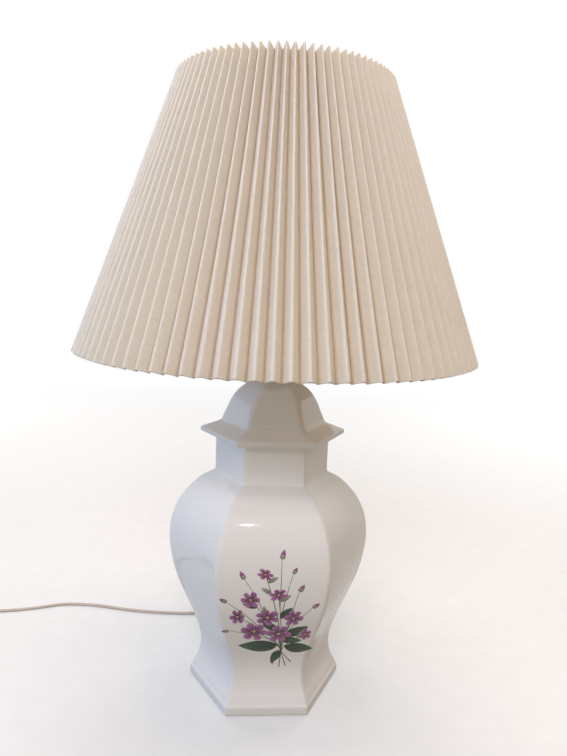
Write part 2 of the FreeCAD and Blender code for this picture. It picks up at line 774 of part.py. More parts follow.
def valley_radius(z):
    """Radius of the cover's innermost folds at a height."""
    low = pleat_corners(ridge_bottom_radius, ridge_bottom_z, cover_wall)[1]
    high = pleat_corners(ridge_top_radius, ridge_top_z, cover_wall)[1]
    low_radius = math.hypot(low.x, low.y)
    high_radius = math.hypot(high.x, high.y)
    share = (z - low.z) / (high.z - low.z)
    return low_radius + (high_radius - low_radius) * share


def ring_place(z):
    """Centre radius of a frame ring that lies just inside the folds."""
    return valley_radius(z) - (ring_wire_radius + fit_gap) / math.cos(cone_angle)


def bottom_ring_z():
    return pleat_corners(ridge_bottom_radius, ridge_bottom_z, cover_wall)[1].z + ring_inset


def top_ring_z():
    return pleat_corners(ridge_top_radius, ridge_top_z, cover_wall)[1].z - ring_inset


def make_shade_ring(z):
    return Part.makeTorus(ring_place(z), ring_wire_radius, V(0, 0, z), UP)


def make_shade_ribs():
    """Straight wires between the two rings, in the plane of the cone."""
    low = V(ring_place(bottom_ring_z()), 0, bottom_ring_z())
    high = V(ring_place(top_ring_z()), 0, top_ring_z())
    along = (high - low).normalize()
    start = low + along * (ring_wire_radius + running_gap)
    length = (high - low).Length - 2 * (ring_wire_radius + running_gap)
    ribs = []
    for i in range(rib_count):
        rib = Part.makeCylinder(ring_wire_radius, length, start, along)
        rib.rotate(V(0, 0, 0), UP, rib_turn + 360.0 / rib_count * i)
        ribs.append(rib)
    return Part.makeCompound(ribs)


def make_spider_hub():
    """Washer on the harp's seat that carries the arms on its edge."""
    return tube(spider_hub_radius, harp_stud_radius + fit_gap, spider_z, spider_z + spider_hub_thickness)


def make_spider_arms():
    """Wires that leave the hub's edge level and rise to the top ring."""
    ring_z = top_ring_z()
    reach = ring_place(ring_z) - ring_wire_radius - running_gap
    hub_z = spider_z + spider_hub_thickness / 2
    route = [V(spider_hub_radius + running_gap, 0, hub_z), V(reach * spider_flat_share, 0, hub_z),
             V(reach * spider_rise_share, 0, ring_z), V(reach, 0, ring_z)]
    arms = []
    for i in range(spider_arms):
        arm = swept(rounded_route(route), ring_wire_radius)
        arm.rotate(V(0, 0, 0), UP, spider_turn + 360.0 / spider_arms * i)
        arms.append(arm)
    return Part.makeCompound(arms)


def make_finial():
    """Turned brass knob, bored from below for the stud."""
    top = finial_z + finial_height
    ball_z = top - finial_ball_radius
    collar_z = finial_z + finial_collar_height
    neck_angle = math.radians(finial_neck_angle)
    low = V(finial_base_radius, 0, finial_z)
    collar = V(finial_base_radius, 0, collar_z)
    ball_foot = V(finial_ball_radius * math.cos(neck_angle), 0,
                  ball_z - finial_ball_radius * math.sin(neck_angle))
    waist = V(finial_waist_radius, 0, (collar_z + ball_foot.z) / 2)
    edges = [line(V(0, 0, finial_z), low), line(low, collar),
             Part.Arc(collar, waist, ball_foot).toShape(),
             Part.Arc(ball_foot, V(finial_ball_radius, 0, ball_z), V(0, 0, top)).toShape(),
             line(V(0, 0, top), V(0, 0, finial_z))]
    bore = cylinder(harp_stud_radius + running_gap, finial_z - overrun, finial_z + finial_bore_depth)
    return turned_edges(edges).cut(bore)


def bushing_end_y():
    return outlet_seat_y() + bushing_flange + bushing_snout


def make_cord_bushing():
    """Flanged bushing in the rear wall, tapered outside as a strain relief."""
    seat = outlet_seat_y()
    tail = seat - bushing_tail
    body = outlet_axis_cylinder(outlet_bore - running_gap, tail, seat)
    flange = outlet_axis_cylinder(bushing_flange_radius, seat, seat + bushing_flange)
    snout = Part.makeCone(outlet_bore, bushing_tip_radius, bushing_snout,
                          V(0, seat + bushing_flange, outlet_z), V(0, 1, 0))
    bore = outlet_axis_cylinder(cord_radius + running_gap, tail - overrun, bushing_end_y() + overrun)
    return body.fuse([flange, snout]).removeSplitter().cut(bore)


def make_inner_cord():
    """Cord inside the lamp: down the pipe, round one bend and out through the bushing."""
    top = V(0, 0, terminal_block_z)
    bend_top = V(0, 0, outlet_z + inner_bend_radius)
    past = inner_bend_radius * (1 - math.cos(math.pi / 4))
    bend_middle = V(0, past, outlet_z + past)
    bend_end = V(0, inner_bend_radius, outlet_z)
    end = V(0, bushing_end_y(), outlet_z)
    bend = Part.Arc(bend_top, bend_middle, bend_end).toShape()
    path = Part.Wire([line(top, bend_top), bend, line(bend_end, end)])
    return swept(path, cord_radius)


def coil_entry_y():
    """The cord's last stretch on the table runs straight into the coil."""
    return bushing_end_y() + cord_points[-1][1]


def cord_route():
    """Free cord from the bushing, down to the table and along it to the coil."""
    exit_point = V(0, bushing_end_y(), outlet_z)
    points = [exit_point + V(x, y, z) for x, y, z in cord_points]
    points.append(V(coil_centre_x + 2 * cord_radius, coil_entry_y(), cord_radius))
    return points


def biarc(start, start_way, end, end_way):
    """Two arcs that leave start and reach end along the given directions."""
    gap = end - start
    ways = start_way + end_way
    a = ways.dot(ways) - 4
    b = -2 * gap.dot(ways)
    c = gap.dot(gap)
    reach = (-b - math.sqrt(b * b - 4 * a * c)) / (2 * a)
    near = start + start_way * reach
    far = end - end_way * reach
    middle = (near + far) * 0.5
    arcs = []
    for first, corner, last in ((start, near, middle), (middle, far, end)):
        back = (first - corner).normalize()
        ahead = (last - corner).normalize()
        half_turn = (math.pi - back.getAngle(ahead)) / 2
        radius = (first - corner).Length / math.tan(half_turn)
        top = corner + (back + ahead).normalize() * (radius / math.cos(half_turn) - radius)
        arcs.append(Part.Arc(first, top, last).toShape())
    return arcs


def coil_stations(outer):
    """One station each half turn: in on the table, up one layer, and out again."""
    pitch = 2 * cord_radius + coil_gap
    centre_y = coil_entry_y() - outer
    halves_in = int(round(2 * turns_in))
    halves_out = int(round(2 * turns_out))
    stations = []
    for k in range(halves_in + 1 + halves_out + 1):
        climbed = k > halves_in
        steps = k if not climbed else 2 * halves_in + 1 - k
        radius = outer - steps * pitch / 2
        z = cord_radius + (pitch if climbed else 0.0)
        turn = 1 if k % 2 == 0 else -1
        point = V(coil_centre_x, centre_y + turn * radius, z)
        stations.append((point, V(-turn, 0, 0)))
    return stations


def coil_path(outer):
    stations = coil_stations(outer)
    start, start_way = stations[0]
    end, end_way = stations[-1]
    edges = [line(start - start_way * (2 * cord_radius), start)]
    for (here, way), (there, next_way) in zip(stations, stations[1:]):
        edges += biarc(here, way, there, next_way)
    edges.append(line(end, end + end_way * coil_tail))
    return Part.Wire(edges)


def coil_outer_radius(run_length):
    """Outer radius that gives the whole cord its length: each half turn adds pi per millimetre."""
    halves = 2 * (turns_in + turns_out) + 1
    trial = (2 * cord_radius + coil_gap) * halves / 2
    missing = cord_length - run_length - coil_path(trial).Length
    return trial + missing / (halves * math.pi)


def coil_self_gap(path):
    """Least distance between points of the coil that are well apart along it, less a diameter."""
    step = cord_radius / 2
    points = path.discretize(Distance=step)
    apart = int(3 * math.pi * cord_radius / step)
    count = len(points)
    least = min((points[i] - points[j]).Length for i in range(count) for j in range(i + apart, count))
    return least - 2 * cord_radius


def make_cord():
    route = rounded_route(cord_route(), "cord")
    run = swept(route, cord_radius)
    outer = coil_outer_radius(route.Length)
    path = coil_path(outer)
    coil = swept(path, cord_radius)
    area = math.pi * cord_radius ** 2
    print(f"cord run {route.Length:.1f} mm, volume check {run.Volume / area:.1f}")
    print(f"coil {path.Length:.1f} mm, volume check {coil.Volume / area:.1f}, outer radius {outer:.2f}")
    print(f"coil gap {coil_self_gap(path):.2f} mm, whole cord {route.Length + path.Length:.1f} mm")
    end = coil_stations(outer)[-1][0] + V(-coil_tail, 0, 0)
    return run, coil, end


def plug_section(x, y, z, width, thickness):
    """Rounded oblong across the cord, for the plug's loft."""
    corner = plug_rounding
    half_w = width / 2
    half_t = thickness / 2
    arc_mid = corner * (1 - math.cos(math.pi / 4))
    signs = ((1, 1), (-1, 1), (-1, -1), (1, -1))
    edges = []
    places = []
    for sy, sz in signs:
        flat_side = V(x, y + sy * half_w, z + sz * (half_t - corner))
        middle = V(x, y + sy * (half_w - arc_mid), z + sz * (half_t - arc_mid))
        flat_top = V(x, y + sy * (half_w - corner), z + sz * half_t)
        places.append((flat_side, middle, flat_top) if sy * sz > 0 else (flat_top, middle, flat_side))
    for i, (first, middle, last) in enumerate(places):
        edges.append(Part.Arc(first, middle, last).toShape())
        edges.append(line(last, places[(i + 1) % len(places)][0]))
    return Part.Wire(edges)


def make_plug(end):
    """Flat two-pin plug that lies on the table in line with the cord's tail."""
    thickness = 2 * end.z
    shoulder_x = end.x - plug_length * plug_shoulder_share
    face_x = end.x - plug_length
    nose = plug_section(end.x, end.y, end.z, plug_nose_width, thickness * plug_nose_share)
    shoulder = plug_section(shoulder_x, end.y, end.z, plug_width, thickness)
    face = plug_section(face_x, end.y, end.z, plug_width, thickness)
    body = Part.makeLoft([nose, shoulder, face], True, True)
    blades = []
    for side in (-1, 1):
        blade_y = end.y + side * blade_spacing / 2 - blade_thickness / 2
        corner = V(face_x - blade_length, blade_y, end.z - blade_height / 2)
        blades.append(Part.makeBox(blade_length, blade_thickness, blade_height, corner))
    return body, Part.makeCompound(blades)


def main():
    os.makedirs("parts", exist_ok=True)
    save("felt_pad", make_felt_pad())
    save("jar_body", make_jar_body())
    save("jar_lid", make_jar_lid())
    for name, shape in zip(("base_washer", "base_lock_washer", "base_nut"), make_base_fasteners()):
        save(name, shape)
    save("lamp_pipe", make_pipe())
    save("vase_cap", make_vase_cap())
    save("check_ring", make_check_ring())
    save("harp_saddle", make_harp_saddle())
    save("saddle_nut", hex_nut(saddle_nut_flats, saddle_nut_z, saddle_nut_height, pipe_radius + running_gap))
    for name, shape in zip(("harp_loop", "harp_seat"), make_harp()):
        save(name, shape)
    save("harp_ferrule_left", make_ferrule(-1))
    save("harp_ferrule_right", make_ferrule(1))
    save("socket_cap", make_socket_cap())
    save("socket_set_screw", make_set_screw())
    save("socket_shell", make_socket_shell())
    save("insulating_sleeve", make_insulating_sleeve())
    save("socket_base", make_socket_base())
    save("terminal_screws", make_terminal_screws())
    save("screw_shell", make_screw_shell())
    save("centre_contact", make_centre_contact())
    for name, shape in zip(("switch_shaft", "switch_knob"), make_switch()):
        save(name, shape)
    names = ("bulb_glass", "bulb_cap", "bulb_insulator", "bulb_contact", "bulb_stem", "bulb_filament")
    for name, shape in zip(names, make_bulb()):
        save(name, shape)
    save("pleated_cover", make_pleated_cover())
    save("shade_bottom_ring", make_shade_ring(bottom_ring_z()))
    save("shade_top_ring", make_shade_ring(top_ring_z()))
    save("shade_ribs", make_shade_ribs())
    save("spider_hub", make_spider_hub())
    save("spider_arms", make_spider_arms())
    save("finial", make_finial())
    save("cord_bushing", make_cord_bushing())
    save("inner_cord", make_inner_cord())
    run, coil, end = make_cord()
    save("cord_run", run)
    save("cord_coil", coil)
    for name, shape in zip(("plug_body", "plug_blades"), make_plug(end)):
        save(name, shape)


main()
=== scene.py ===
"""The looks of a ceramic table lamp: a glazed six-sided jar with a spray of flowers under a pleated shade.

The scene is in metres, +Z up, and the front side of the jar faces -Y. Sizes and places are named in
millimetres, but in metres for the camera, the lights, the floor and the cord's length and section.
"""
import bpy
import json
import math
import random
import numpy as np
from mathutils import Matrix, Vector


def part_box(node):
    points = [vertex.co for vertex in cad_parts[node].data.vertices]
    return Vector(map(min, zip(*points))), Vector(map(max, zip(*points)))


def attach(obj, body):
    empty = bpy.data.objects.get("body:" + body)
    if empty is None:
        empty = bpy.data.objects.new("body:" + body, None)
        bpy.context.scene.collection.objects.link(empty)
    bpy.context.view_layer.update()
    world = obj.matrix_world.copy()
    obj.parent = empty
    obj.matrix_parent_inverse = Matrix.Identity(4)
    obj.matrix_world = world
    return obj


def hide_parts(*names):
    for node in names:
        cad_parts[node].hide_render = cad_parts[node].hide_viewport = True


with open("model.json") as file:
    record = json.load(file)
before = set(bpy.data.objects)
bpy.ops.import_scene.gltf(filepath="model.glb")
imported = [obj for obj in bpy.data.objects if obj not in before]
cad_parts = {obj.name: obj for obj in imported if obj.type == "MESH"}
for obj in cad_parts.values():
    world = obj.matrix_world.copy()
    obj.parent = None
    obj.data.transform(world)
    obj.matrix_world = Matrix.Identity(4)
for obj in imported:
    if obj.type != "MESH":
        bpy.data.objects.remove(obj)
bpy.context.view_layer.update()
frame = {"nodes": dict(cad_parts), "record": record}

MM = 0.001
SIDES = 6
HALF_SIDE = math.pi / SIDES

# Camera: where the photograph was taken from in metres, its angles in degrees, and its lens in millimetres
CAMERA_PLACE = Vector((-0.0401, -0.6571, 0.4627))
CAMERA_YAW = 4.325
CAMERA_PITCH = 8.783
CAMERA_ROLL = 2.318
CAMERA_LENS = 28.27
SENSOR_WIDTH = 36.0
NEAREST_SEEN = 0.02

# Jar: radii to its corners, heights, and the roundings of its edges
FOOT_CORNER = 88.8
FOOT_Z = 1.0
FOOT_TOP_Z = 10.4
FOOT_LEDGE = 0.9
FOOT_WALL = 10.4
FOOT_INNER_ROUNDING = 1.2
FOOT_OUTER_ROUNDING = 1.4
FOOT_TOP_ROUNDING = 1.6
WAIST_CORNER = 77.4
WAIST_Z = 45.0
BELLY_CORNER = 115.8
BELLY_Z = 178.0
NECK_CORNER = 64.5
NECK_ROOT_Z = 254.0
NECK_ROOT_ROUNDING = 3.0
NECK_RING_RISES = (14.0, 28.0)
NECK_TOP_Z = 299.0
NECK_RIM_ROUNDING = 2.0
WALL_CORNER = 6.93
FLOOR_Z = 38.0
INSIDE_Z = 46.0
INSIDE_CLEARANCE = 4.0
FLOOR_ROUNDING = 3.0
HOLE_CORNER = 6.4
HOLE_ROUNDING = 0.8

# Side line of the jar: shares of a stretch's height and of its change in radius
FLARE_SHARES = ((0.0, 1.0), (0.1, 0.86), (0.22, 0.68), (0.39, 0.4), (0.57, 0.185), (0.78, 0.045), (1.0, 0.0))
SWELL_SHARES = ((0.1, 0.045), (0.2, 0.157), (0.34, 0.36), (0.48, 0.577), (0.63, 0.783), (0.8, 0.932),
                (1.0, 1.0))
SHOULDER_SHARES = ((0.18, 0.977), (0.34, 0.921), (0.5, 0.822), (0.66, 0.67), (0.78, 0.508), (0.88, 0.345),
                   (0.95, 0.175), (1.0, 0.0))
SIDE_SPACING = 2.0

# Upright corners of the jar: their rounding at a height
JAR_ROUNDINGS = ((FOOT_TOP_Z, 1.8), (30.0, 5.4), (240.0, 6.0), (NECK_ROOT_Z, 3.2))

# Cuts through the rear wall: the bushing's seat outside, and the cord's bore inside it
CORD_HOLE_Z = 18.0
SEAT_RADIUS = 7.3
SEAT_DEPTH = 13.4
SEAT_CUT_LENGTH = 30.0
BORE_RADIUS = 4.9
BORE_CUT_LENGTH = 40.0
BORE_OVERLAP = 1.0
CUT_SIDES = 48

# Lid
BRIM_CORNER = 82.0
BRIM_TOP_Z = 303.8
BRIM_BOTTOM_ROUNDING = 1.5
BRIM_TOP_ROUNDING = 1.8
BRIM_BLEND = 4.0
DOME_ROOT_Z = 311.8
DOME_ROOT_CORNER = 59.5
DOME_SHARES = ((0.0, 1.0), (0.14, 0.935), (0.28, 0.85), (0.42, 0.775), (0.56, 0.678), (0.68, 0.572),
               (0.78, 0.44), (0.87, 0.28), (0.95, 0.115), (1.0, 0.0))
DOME_SPACING = 1.6
LID_TOP_Z = 360.0
LID_TOP_CORNER = 24.0
LID_TOP_ROUNDING = 2.0
LID_WALL_CORNER = 5.77
LID_WALL_DROP = 5.0
LID_HOLE_ROUNDING = 0.6
CEILING_CLEARANCE = 6.0
LIP_CORNER = 56.97
LIP_Z = 287.0
LIP_INSIDE_RISE = 3.0
LIP_ROUNDING = 1.4
LIP_SEAT_ROUNDING = 0.8
LID_ROUNDINGS = ((BRIM_TOP_Z, 2.2), (DOME_ROOT_Z + BRIM_BLEND, 7.0), (345.0, 9.0))

# How finely the six-sided shells are divided, and how far a rounding may reach
SIDE_STEPS = 10
CORNER_STEPS = 8
EDGE_STEPS = 4
BLEND_STEPS = 8
EDGE_REACH_SHARE = 0.45
CORNER_REACH_SHARE = 0.6

# Glaze, over the white body and over the flowers alike
GLAZE_ROUGHNESS = (0.05, 0.075)
GLAZE_IOR = 1.5

# Pleated cover
PLEATS = 92
RIDGE_BOTTOM_RADIUS = 215.9
RIDGE_TOP_RADIUS = 114.0
RIDGE_RISE = 279.0
PLEAT_LEG = 12.6
CLOTH_THICKNESS = 0.7
RIDGE_ROUNDING_SHARE = 0.3
VALLEY_ROUNDING_SHARE = 0.12
FOLD_REACH_SHARES = (0.06, 0.94)

# Points of the cover: rows up the slant, with one close to each cut edge, and shares of a fold to its
# valley, which are closer together at the ridge and at the valley
COVER_ROWS = 24
CUT_EDGE_SHARE = 0.002
LEG_SHARES = (0.0, 0.03, 0.06, 0.09, 0.12, 0.15, 0.24, 0.34, 0.44, 0.47, 0.5)

# Unevenness of the folds, as shares of a pleat's width and depth
PLEAT_SEED = 41
PLEAT_LEAN_SHARE = 0.022
PLEAT_WAVER_SHARE = 0.012
PLEAT_DEPTH_SHARE = 0.012

# Flowers on the front side: places are x and the height along the side above the waist.
# A blossom also has its radius, which way it leans as an angle, and how open it looks.
STEM_FOOT = (13.0, 30.0)
BLOSSOMS = (
    (-17.0, 62.0, 15.0, 0.4, 0.95),
    (9.0, 58.0, 14.5, 2.5, 0.92),
    (-4.0, 83.0, 13.5, 1.3, 0.86),
    (23.0, 82.0, 12.0, 2.7, 0.84),
    (-35.0, 84.0, 11.0, 0.1, 0.74),
    (-22.0, 106.0, 11.5, 0.7, 0.82),
    (6.0, 112.0, 10.0, 1.7, 0.72),
    (37.0, 57.0, 9.5, 3.0, 0.66),
    (-8.0, 135.0, 9.0, 1.2, 0.68),
)
# A bud has its place, its direction in degrees and its length, and grows from a blossom's stem
# at a share of that stem's length
BUDS = (
    (-29.0, 130.0, 118.0, 10.0, 5, 0.72),
    (8.0, 151.0, 76.0, 10.5, 6, 0.80),
    (27.0, 116.0, 58.0, 10.0, 3, 0.62),
    (42.0, 96.0, 40.0, 9.5, 3, 0.48),
    (-46.0, 103.0, 150.0, 9.0, 4, 0.66),
    (-43.0, 63.0, 190.0, 8.5, 0, 0.60),
    (20.0, 136.0, 60.0, 8.0, 6, 0.62),
)
# A leaf grows from a blossom's stem at a share of it, with a direction, length, width and bend
LEAVES = (
    (0, 0.30, 186.0, 42.0, 18.0, -4.0),
    (7, 0.30, -14.0, 31.0, 15.5, 3.5),
    (0, 0.06, 236.0, 22.0, 10.0, 3.0),
    (3, 0.50, 24.0, 27.0, 13.0, 3.0),
    (4, 0.62, 172.0, 22.0, 11.0, 3.0),
    (2, 0.62, 128.0, 20.0, 10.0, 3.0),
    (6, 0.62, 62.0, 19.0, 9.0, -3.0),
    (1, 0.62, 6.0, 23.0, 11.0, -3.0),
    (5, 0.86, 156.0, 16.0, 7.5, 2.0),
)
PALE_LEAVES = (
    (6, 0.90, 22.0, 14.0, 6.5, 2.0),
    (5, 0.70, 104.0, 15.0, 6.0, -2.0),
    (3, 0.86, 112.0, 15.0, 6.0, 2.0),
    (8, 0.90, 38.0, 12.0, 5.0, -1.5),
    (7, 0.80, 56.0, 14.0, 6.0, 2.0),
    (8, 0.78, 140.0, 13.0, 5.0, 1.5),
)
# Stems: where those below the spray end, their widths, sway and taper
STEM_ENDS = ((4.0, 10.0), (12.0, 6.0), (19.0, 8.0), (25.0, 13.0))
STEM_WIDTH = 1.0
BUD_STEM_WIDTH = 0.75
STEM_SWAY_SHARE = 0.12
STEM_END_SWAY_SHARE = 0.6
BUD_SWAY_SHARE = 0.3
STEM_TAPER_SHARES = (1.15, 0.75)
STEM_STEPS = 24

# Petals, buds and leaves: widths as shares of a length, and how their tone and shape vary
SPRAY_SEED = 7
PETALS = 6
PETAL_WIDTH_SHARE = 0.3795
PETAL_FOOT_SHARE = 0.22
PETAL_SIZE_SHARES = (0.92, 1.05)
PETAL_BEND = 0.6
PETAL_TURN = 0.08
PETAL_TONE = 0.16
BUD_WIDTH_SHARE = 0.52
BUD_TONE = 0.1
CUP_LENGTH_SHARE = 0.5
CUP_WIDTH_SHARE = 0.56
EYE_SHARE = 0.12
LEAF_TONES = (-0.1, 0.2)
PALE_TONES = (-0.1, 0.1)
BLADE_COLUMNS = 5
SMALL_ROWS = 9
PETAL_ROWS = 10
LEAF_ROWS = 12

# Ink: its height over the glaze, its thickness, the step from one layer to the next, the first layer
# above the leaves, and the layers that a blossom takes
INK_LIFT = 0.05
INK_THICKNESS = 0.03
INK_STEP = 0.012
BLOSSOM_FIRST_LAYER = 10
BLOSSOM_LAYERS = 3

PLUM = (0.09, 0.010, 0.065)
MOSS = (0.06, 0.08, 0.035)
INKS = {
    "flower_petals": dict(
        name="mauve_ink", rim=(0.56, 0.30, 0.50), rim_share=0.55, vein=PLUM, vein_share=0.6, veins=3.0,
        stops=((0.08, (0.045, 0.006, 0.034)), (0.4, (0.19, 0.035, 0.14)), (0.92, (0.40, 0.14, 0.33)))),
    "flower_leaves": dict(
        name="leaf_ink", rim=(0.006, 0.018, 0.006), rim_share=0.6, vein=(0.09, 0.16, 0.06), vein_share=0.55,
        veins=6.0, stops=((0.1, (0.006, 0.02, 0.007)), (0.5, (0.012, 0.042, 0.012)),
                          (0.9, (0.04, 0.095, 0.028)))),
    "flower_pale_leaves": dict(
        name="pale_leaf_ink", rim=(0.13, 0.16, 0.09), rim_share=0.5, vein=(0.18, 0.22, 0.14), vein_share=0.4,
        veins=3.0, stops=((0.1, (0.15, 0.18, 0.11)), (0.9, (0.31, 0.34, 0.24)))),
    "flower_stems": dict(
        name="stem_ink", rim=MOSS, rim_share=0.0, vein=MOSS, vein_share=0.0, veins=1.0,
        stops=((0.1, MOSS), (0.9, (0.12, 0.16, 0.075)))),
    "flower_eyes": dict(
        name="ochre_ink", rim=(0.30, 0.16, 0.03), rim_share=0.5, vein=(0.4, 0.25, 0.05), vein_share=0.0,
        veins=1.0, stops=((0.1, (0.50, 0.30, 0.05)), (0.9, (0.66, 0.45, 0.12)))),
}

# Metals and mouldings by the record's slots: the look's name, its colour or two tones, its roughness
# and, for a moulding, the weight of its coat
METALS = {
    "zinc_steel": ("zinc_plate", (0.62, 0.63, 0.64), 0.34),
    "polished_brass": ("polished_brass", (0.70, 0.54, 0.29), 0.22),
    "plated_wire": ("brass_plated_wire", (0.68, 0.55, 0.33), 0.3),
    "aluminium_thread": ("formed_aluminium", (0.78, 0.78, 0.77), 0.32),
    "brass_contact": ("spring_brass", (0.74, 0.55, 0.26), 0.28),
    "filament_wire": ("tungsten", (0.36, 0.35, 0.33), 0.4),
}
MOULDINGS = {
    "black_moulding": ("phenolic_moulding", (0.022, 0.019, 0.017), (0.04, 0.034, 0.03), 0.45, 0.0),
    "black_knob": ("black_knob", (0.016, 0.014, 0.013), (0.03, 0.026, 0.024), 0.28, 0.3),
    "plug_moulding": ("ivory_plug", (0.60, 0.53, 0.44), (0.68, 0.61, 0.52), 0.3, 0.4),
}
# Edges of the carried-over pieces stay sharp from this angle on, in degrees
SHARP_ANGLE = 32

# Cord: its length and the width and thickness of its section, in metres, and where its two lobes
# meet, in degrees
CORD_WIDTH = 0.005
CORD_THICKNESS = 0.0027
LOBE_STEPS = 10
LOBE_SEAM_ANGLE = 40

# The cord's route from the bushing along the table, as offsets from the bushing's end
CORD_ROUTE = (
    (0.0, 0.0, 0.0),
    (0.0, 21.0, 0.0),
    (-13.0, 42.0, -6.5),
    (-46.0, 51.0, -13.4),
    (-88.0, 42.0, -15.5),
    (-136.0, 43.5, -15.5),
    (-188.0, 51.5, -15.5),
    (-236.0, 65.0, -15.5),
    (-281.0, 68.5, -15.5),
    (-316.0, 56.0, -15.5),
    (-360.0, 48.4, -15.5),
)
ROUTE_FINENESS = 8
COIL_CENTRE_X = -412.0
COIL_OUTER_RADIUS = 39.59
COIL_PITCH = 6.4
COIL_LAYER = 3.1
COIL_TURNS_IN = 3.0
COIL_TURNS_OUT = 3.5
CLIMB_TURNS = 0.5
COIL_STEPS = 16
COIL_TAIL = 25.0

# Area lights: name, place, size, power and colour
LIGHTS_AIM = (0.0, 0.0, 0.33)
LIGHTS = (
    ("room_front", (-0.3, -1.5, 1.46), (1.0, 0.55), 22.3, (0.87, 0.85, 0.94)),
    ("front_low", (-0.1, -1.7, 0.55), (1.0, 0.5), 4.4, (1.0, 0.84, 0.42)),
    ("window_left", (-2.0, -0.7, 0.5), (1.2, 0.8), 16.3, (0.38, 0.61, 1.0)),
    ("room_right", (1.6, -1.3, 0.9), (1.4, 1.2), 3.5, (1.0, 0.53, 0.14)),
    ("high_right", (1.0, 0.3, 2.1), (0.6, 0.6), 5.0, (1.0, 0.9, 0.8)),
    ("back_right", (1.4, 1.6, 0.9), (1.2, 1.0), 20.0, (1.0, 0.98, 0.95)),
    ("back_left", (-1.4, 1.6, 0.9), (1.2, 1.0), 19.0, (1.0, 0.98, 0.95)),
    ("ceiling", (0.0, 0.0, 2.3), (1.2, 1.2), 22.5, (1.0, 0.82, 0.72)),
)
# A small light that only glossy surfaces mirror, as the bright spot on the shoulder
SPARK_AIM = (-0.02, -0.09, 0.22)
SPARK = ("small_spark", (-0.01, -0.86, 0.82), (0.016, 0.05), 0.35, (1.0, 0.97, 0.92))
WHITE = (1.0, 1.0, 1.0)
AMBIENT_COLOUR = (0.91, 0.94, 1.0)
AMBIENT_STRENGTH = 0.1

# Floor: its size in metres, the scale at which it fades, and the light that it sends up, as from a
# dark table top
FLOOR_RADIUS = 6.0
FLOOR_SIDES = 96
FLOOR_FADE_SCALE = 0.42
FLOOR_BOUNCE = (0.14, 0.12, 0.11)


# Materials


class Nodes:
    """A node tree being built, with short calls that add nodes and link them."""

    def __init__(self, tree):
        self.nodes = tree.nodes
        self.links = tree.links

    def fill(self, socket, value):
        """Links a socket to a source, or gives it a value; a colour gets its alpha."""
        if isinstance(value, bpy.types.NodeSocket):
            self.links.new(value, socket)
        elif socket.type == "RGBA":
            socket.default_value = (*value, 1.0)
        else:
            socket.default_value = value

    def node(self, kind, **settings):
        """A new node; settings are its properties or its inputs, with _ for a space."""
        made = self.nodes.new(kind)
        for name, value in settings.items():
            if hasattr(made, name):
                setattr(made, name, value)
            else:
                self.fill(made.inputs[name.replace("_", " ")], value)
        return made

    def maths(self, operation, *values):
        made = self.node("ShaderNodeMath", operation=operation)
        for socket, value in zip(made.inputs, values):
            self.fill(socket, value)
        return made.outputs[0]

    def mix_shaders(self, factor, first, second):
        made = self.node("ShaderNodeMixShader")
        for socket, value in zip(made.inputs, (factor, first, second)):
            self.fill(socket, value)
        return made.outputs[0]


class Look(Nodes):
    """A node material being built round its Principled shader."""

    def __init__(self, name):
        self.material = bpy.data.materials.new(name)
        self.material.use_nodes = True
        super().__init__(self.material.node_tree)
        self.shader = next(n for n in self.nodes if n.type == "BSDF_PRINCIPLED")

    def set(self, **values):
        """Fills the shader's sockets, with _ for a space in their names."""
        for name, value in values.items():
            self.fill(self.shader.inputs[name.replace("_", " ")], value)

    def place(self, scale, kind="Object"):
        """Texture coordinates stretched by a scale for each axis."""
        source = self.node("ShaderNodeTexCoord").outputs[kind]
        return self.node("ShaderNodeMapping", Vector=source, Scale=scale).outputs["Vector"]

    def noise(self, scale, detail=3.0, roughness=0.5, stretch=(1, 1, 1), kind="Object"):
        place = self.place(stretch, kind)
        texture = self.node("ShaderNodeTexNoise", Vector=place, Scale=scale, Detail=detail,
                            Roughness=roughness)
        return texture.outputs["Fac"]

    def ramp(self, source, stops):
        """Colour ramp from (position, colour) stops."""
        made = self.node("ShaderNodeValToRGB", Fac=source)
        elements = made.color_ramp.elements
        while len(elements) < len(stops):
            elements.new(0.5)
        for element, (position, colour) in zip(elements, stops):
            element.position = position
            element.color = (*colour, 1.0)
        return made.outputs["Color"]

    def tones(self, source, low, high, start=0.3, end=0.7):
        """Colour that runs from low to high while the source runs from start to end."""
        return self.ramp(source, ((start, low), (end, high)))

    def spread(self, source, low, high, start=0.3, end=0.7):
        """Number that runs from low to high while the source runs from start to end."""
        made = self.node("ShaderNodeMapRange", Value=source, From_Min=start, From_Max=end, To_Min=low,
                         To_Max=high)
        return made.outputs["Result"]

    def mix(self, factor, first, second, blend="MIX"):
        """Mix of two colours; the mix node's colour sockets are its seventh and eighth."""
        made = self.node("ShaderNodeMix", data_type="RGBA", blend_type=blend)
        for number, value in ((0, factor), (6, first), (7, second)):
            self.fill(made.inputs[number], value)
        return made.outputs[2]

    def bump(self, height, distance, strength):
        made = self.node("ShaderNodeBump", Height=height, Distance=distance, Strength=strength)
        self.set(Normal=made.outputs["Normal"])


def add_gloss(look):
    """The glaze's gloss, which drifts a little."""
    look.set(Roughness=look.spread(look.noise(18.0, 2.0), *GLAZE_ROUGHNESS), IOR=GLAZE_IOR)


def glaze_look():
    """White gloss glaze with a faint tint that drifts, a soft ripple and a few pinholes."""
    look = Look("white_glaze")
    tone = look.tones(look.noise(7.0), (0.77, 0.748, 0.708), (0.805, 0.785, 0.752))
    dots = look.spread(look.noise(420.0, 2.0, 0.7), 0.0, 0.35, 0.755, 0.80)
    look.set(Base_Color=look.mix(dots, tone, (0.46, 0.41, 0.35)))
    add_gloss(look)
    look.bump(look.noise(26.0, 2.0, 0.4), 0.0011, 0.12)
    return look.material


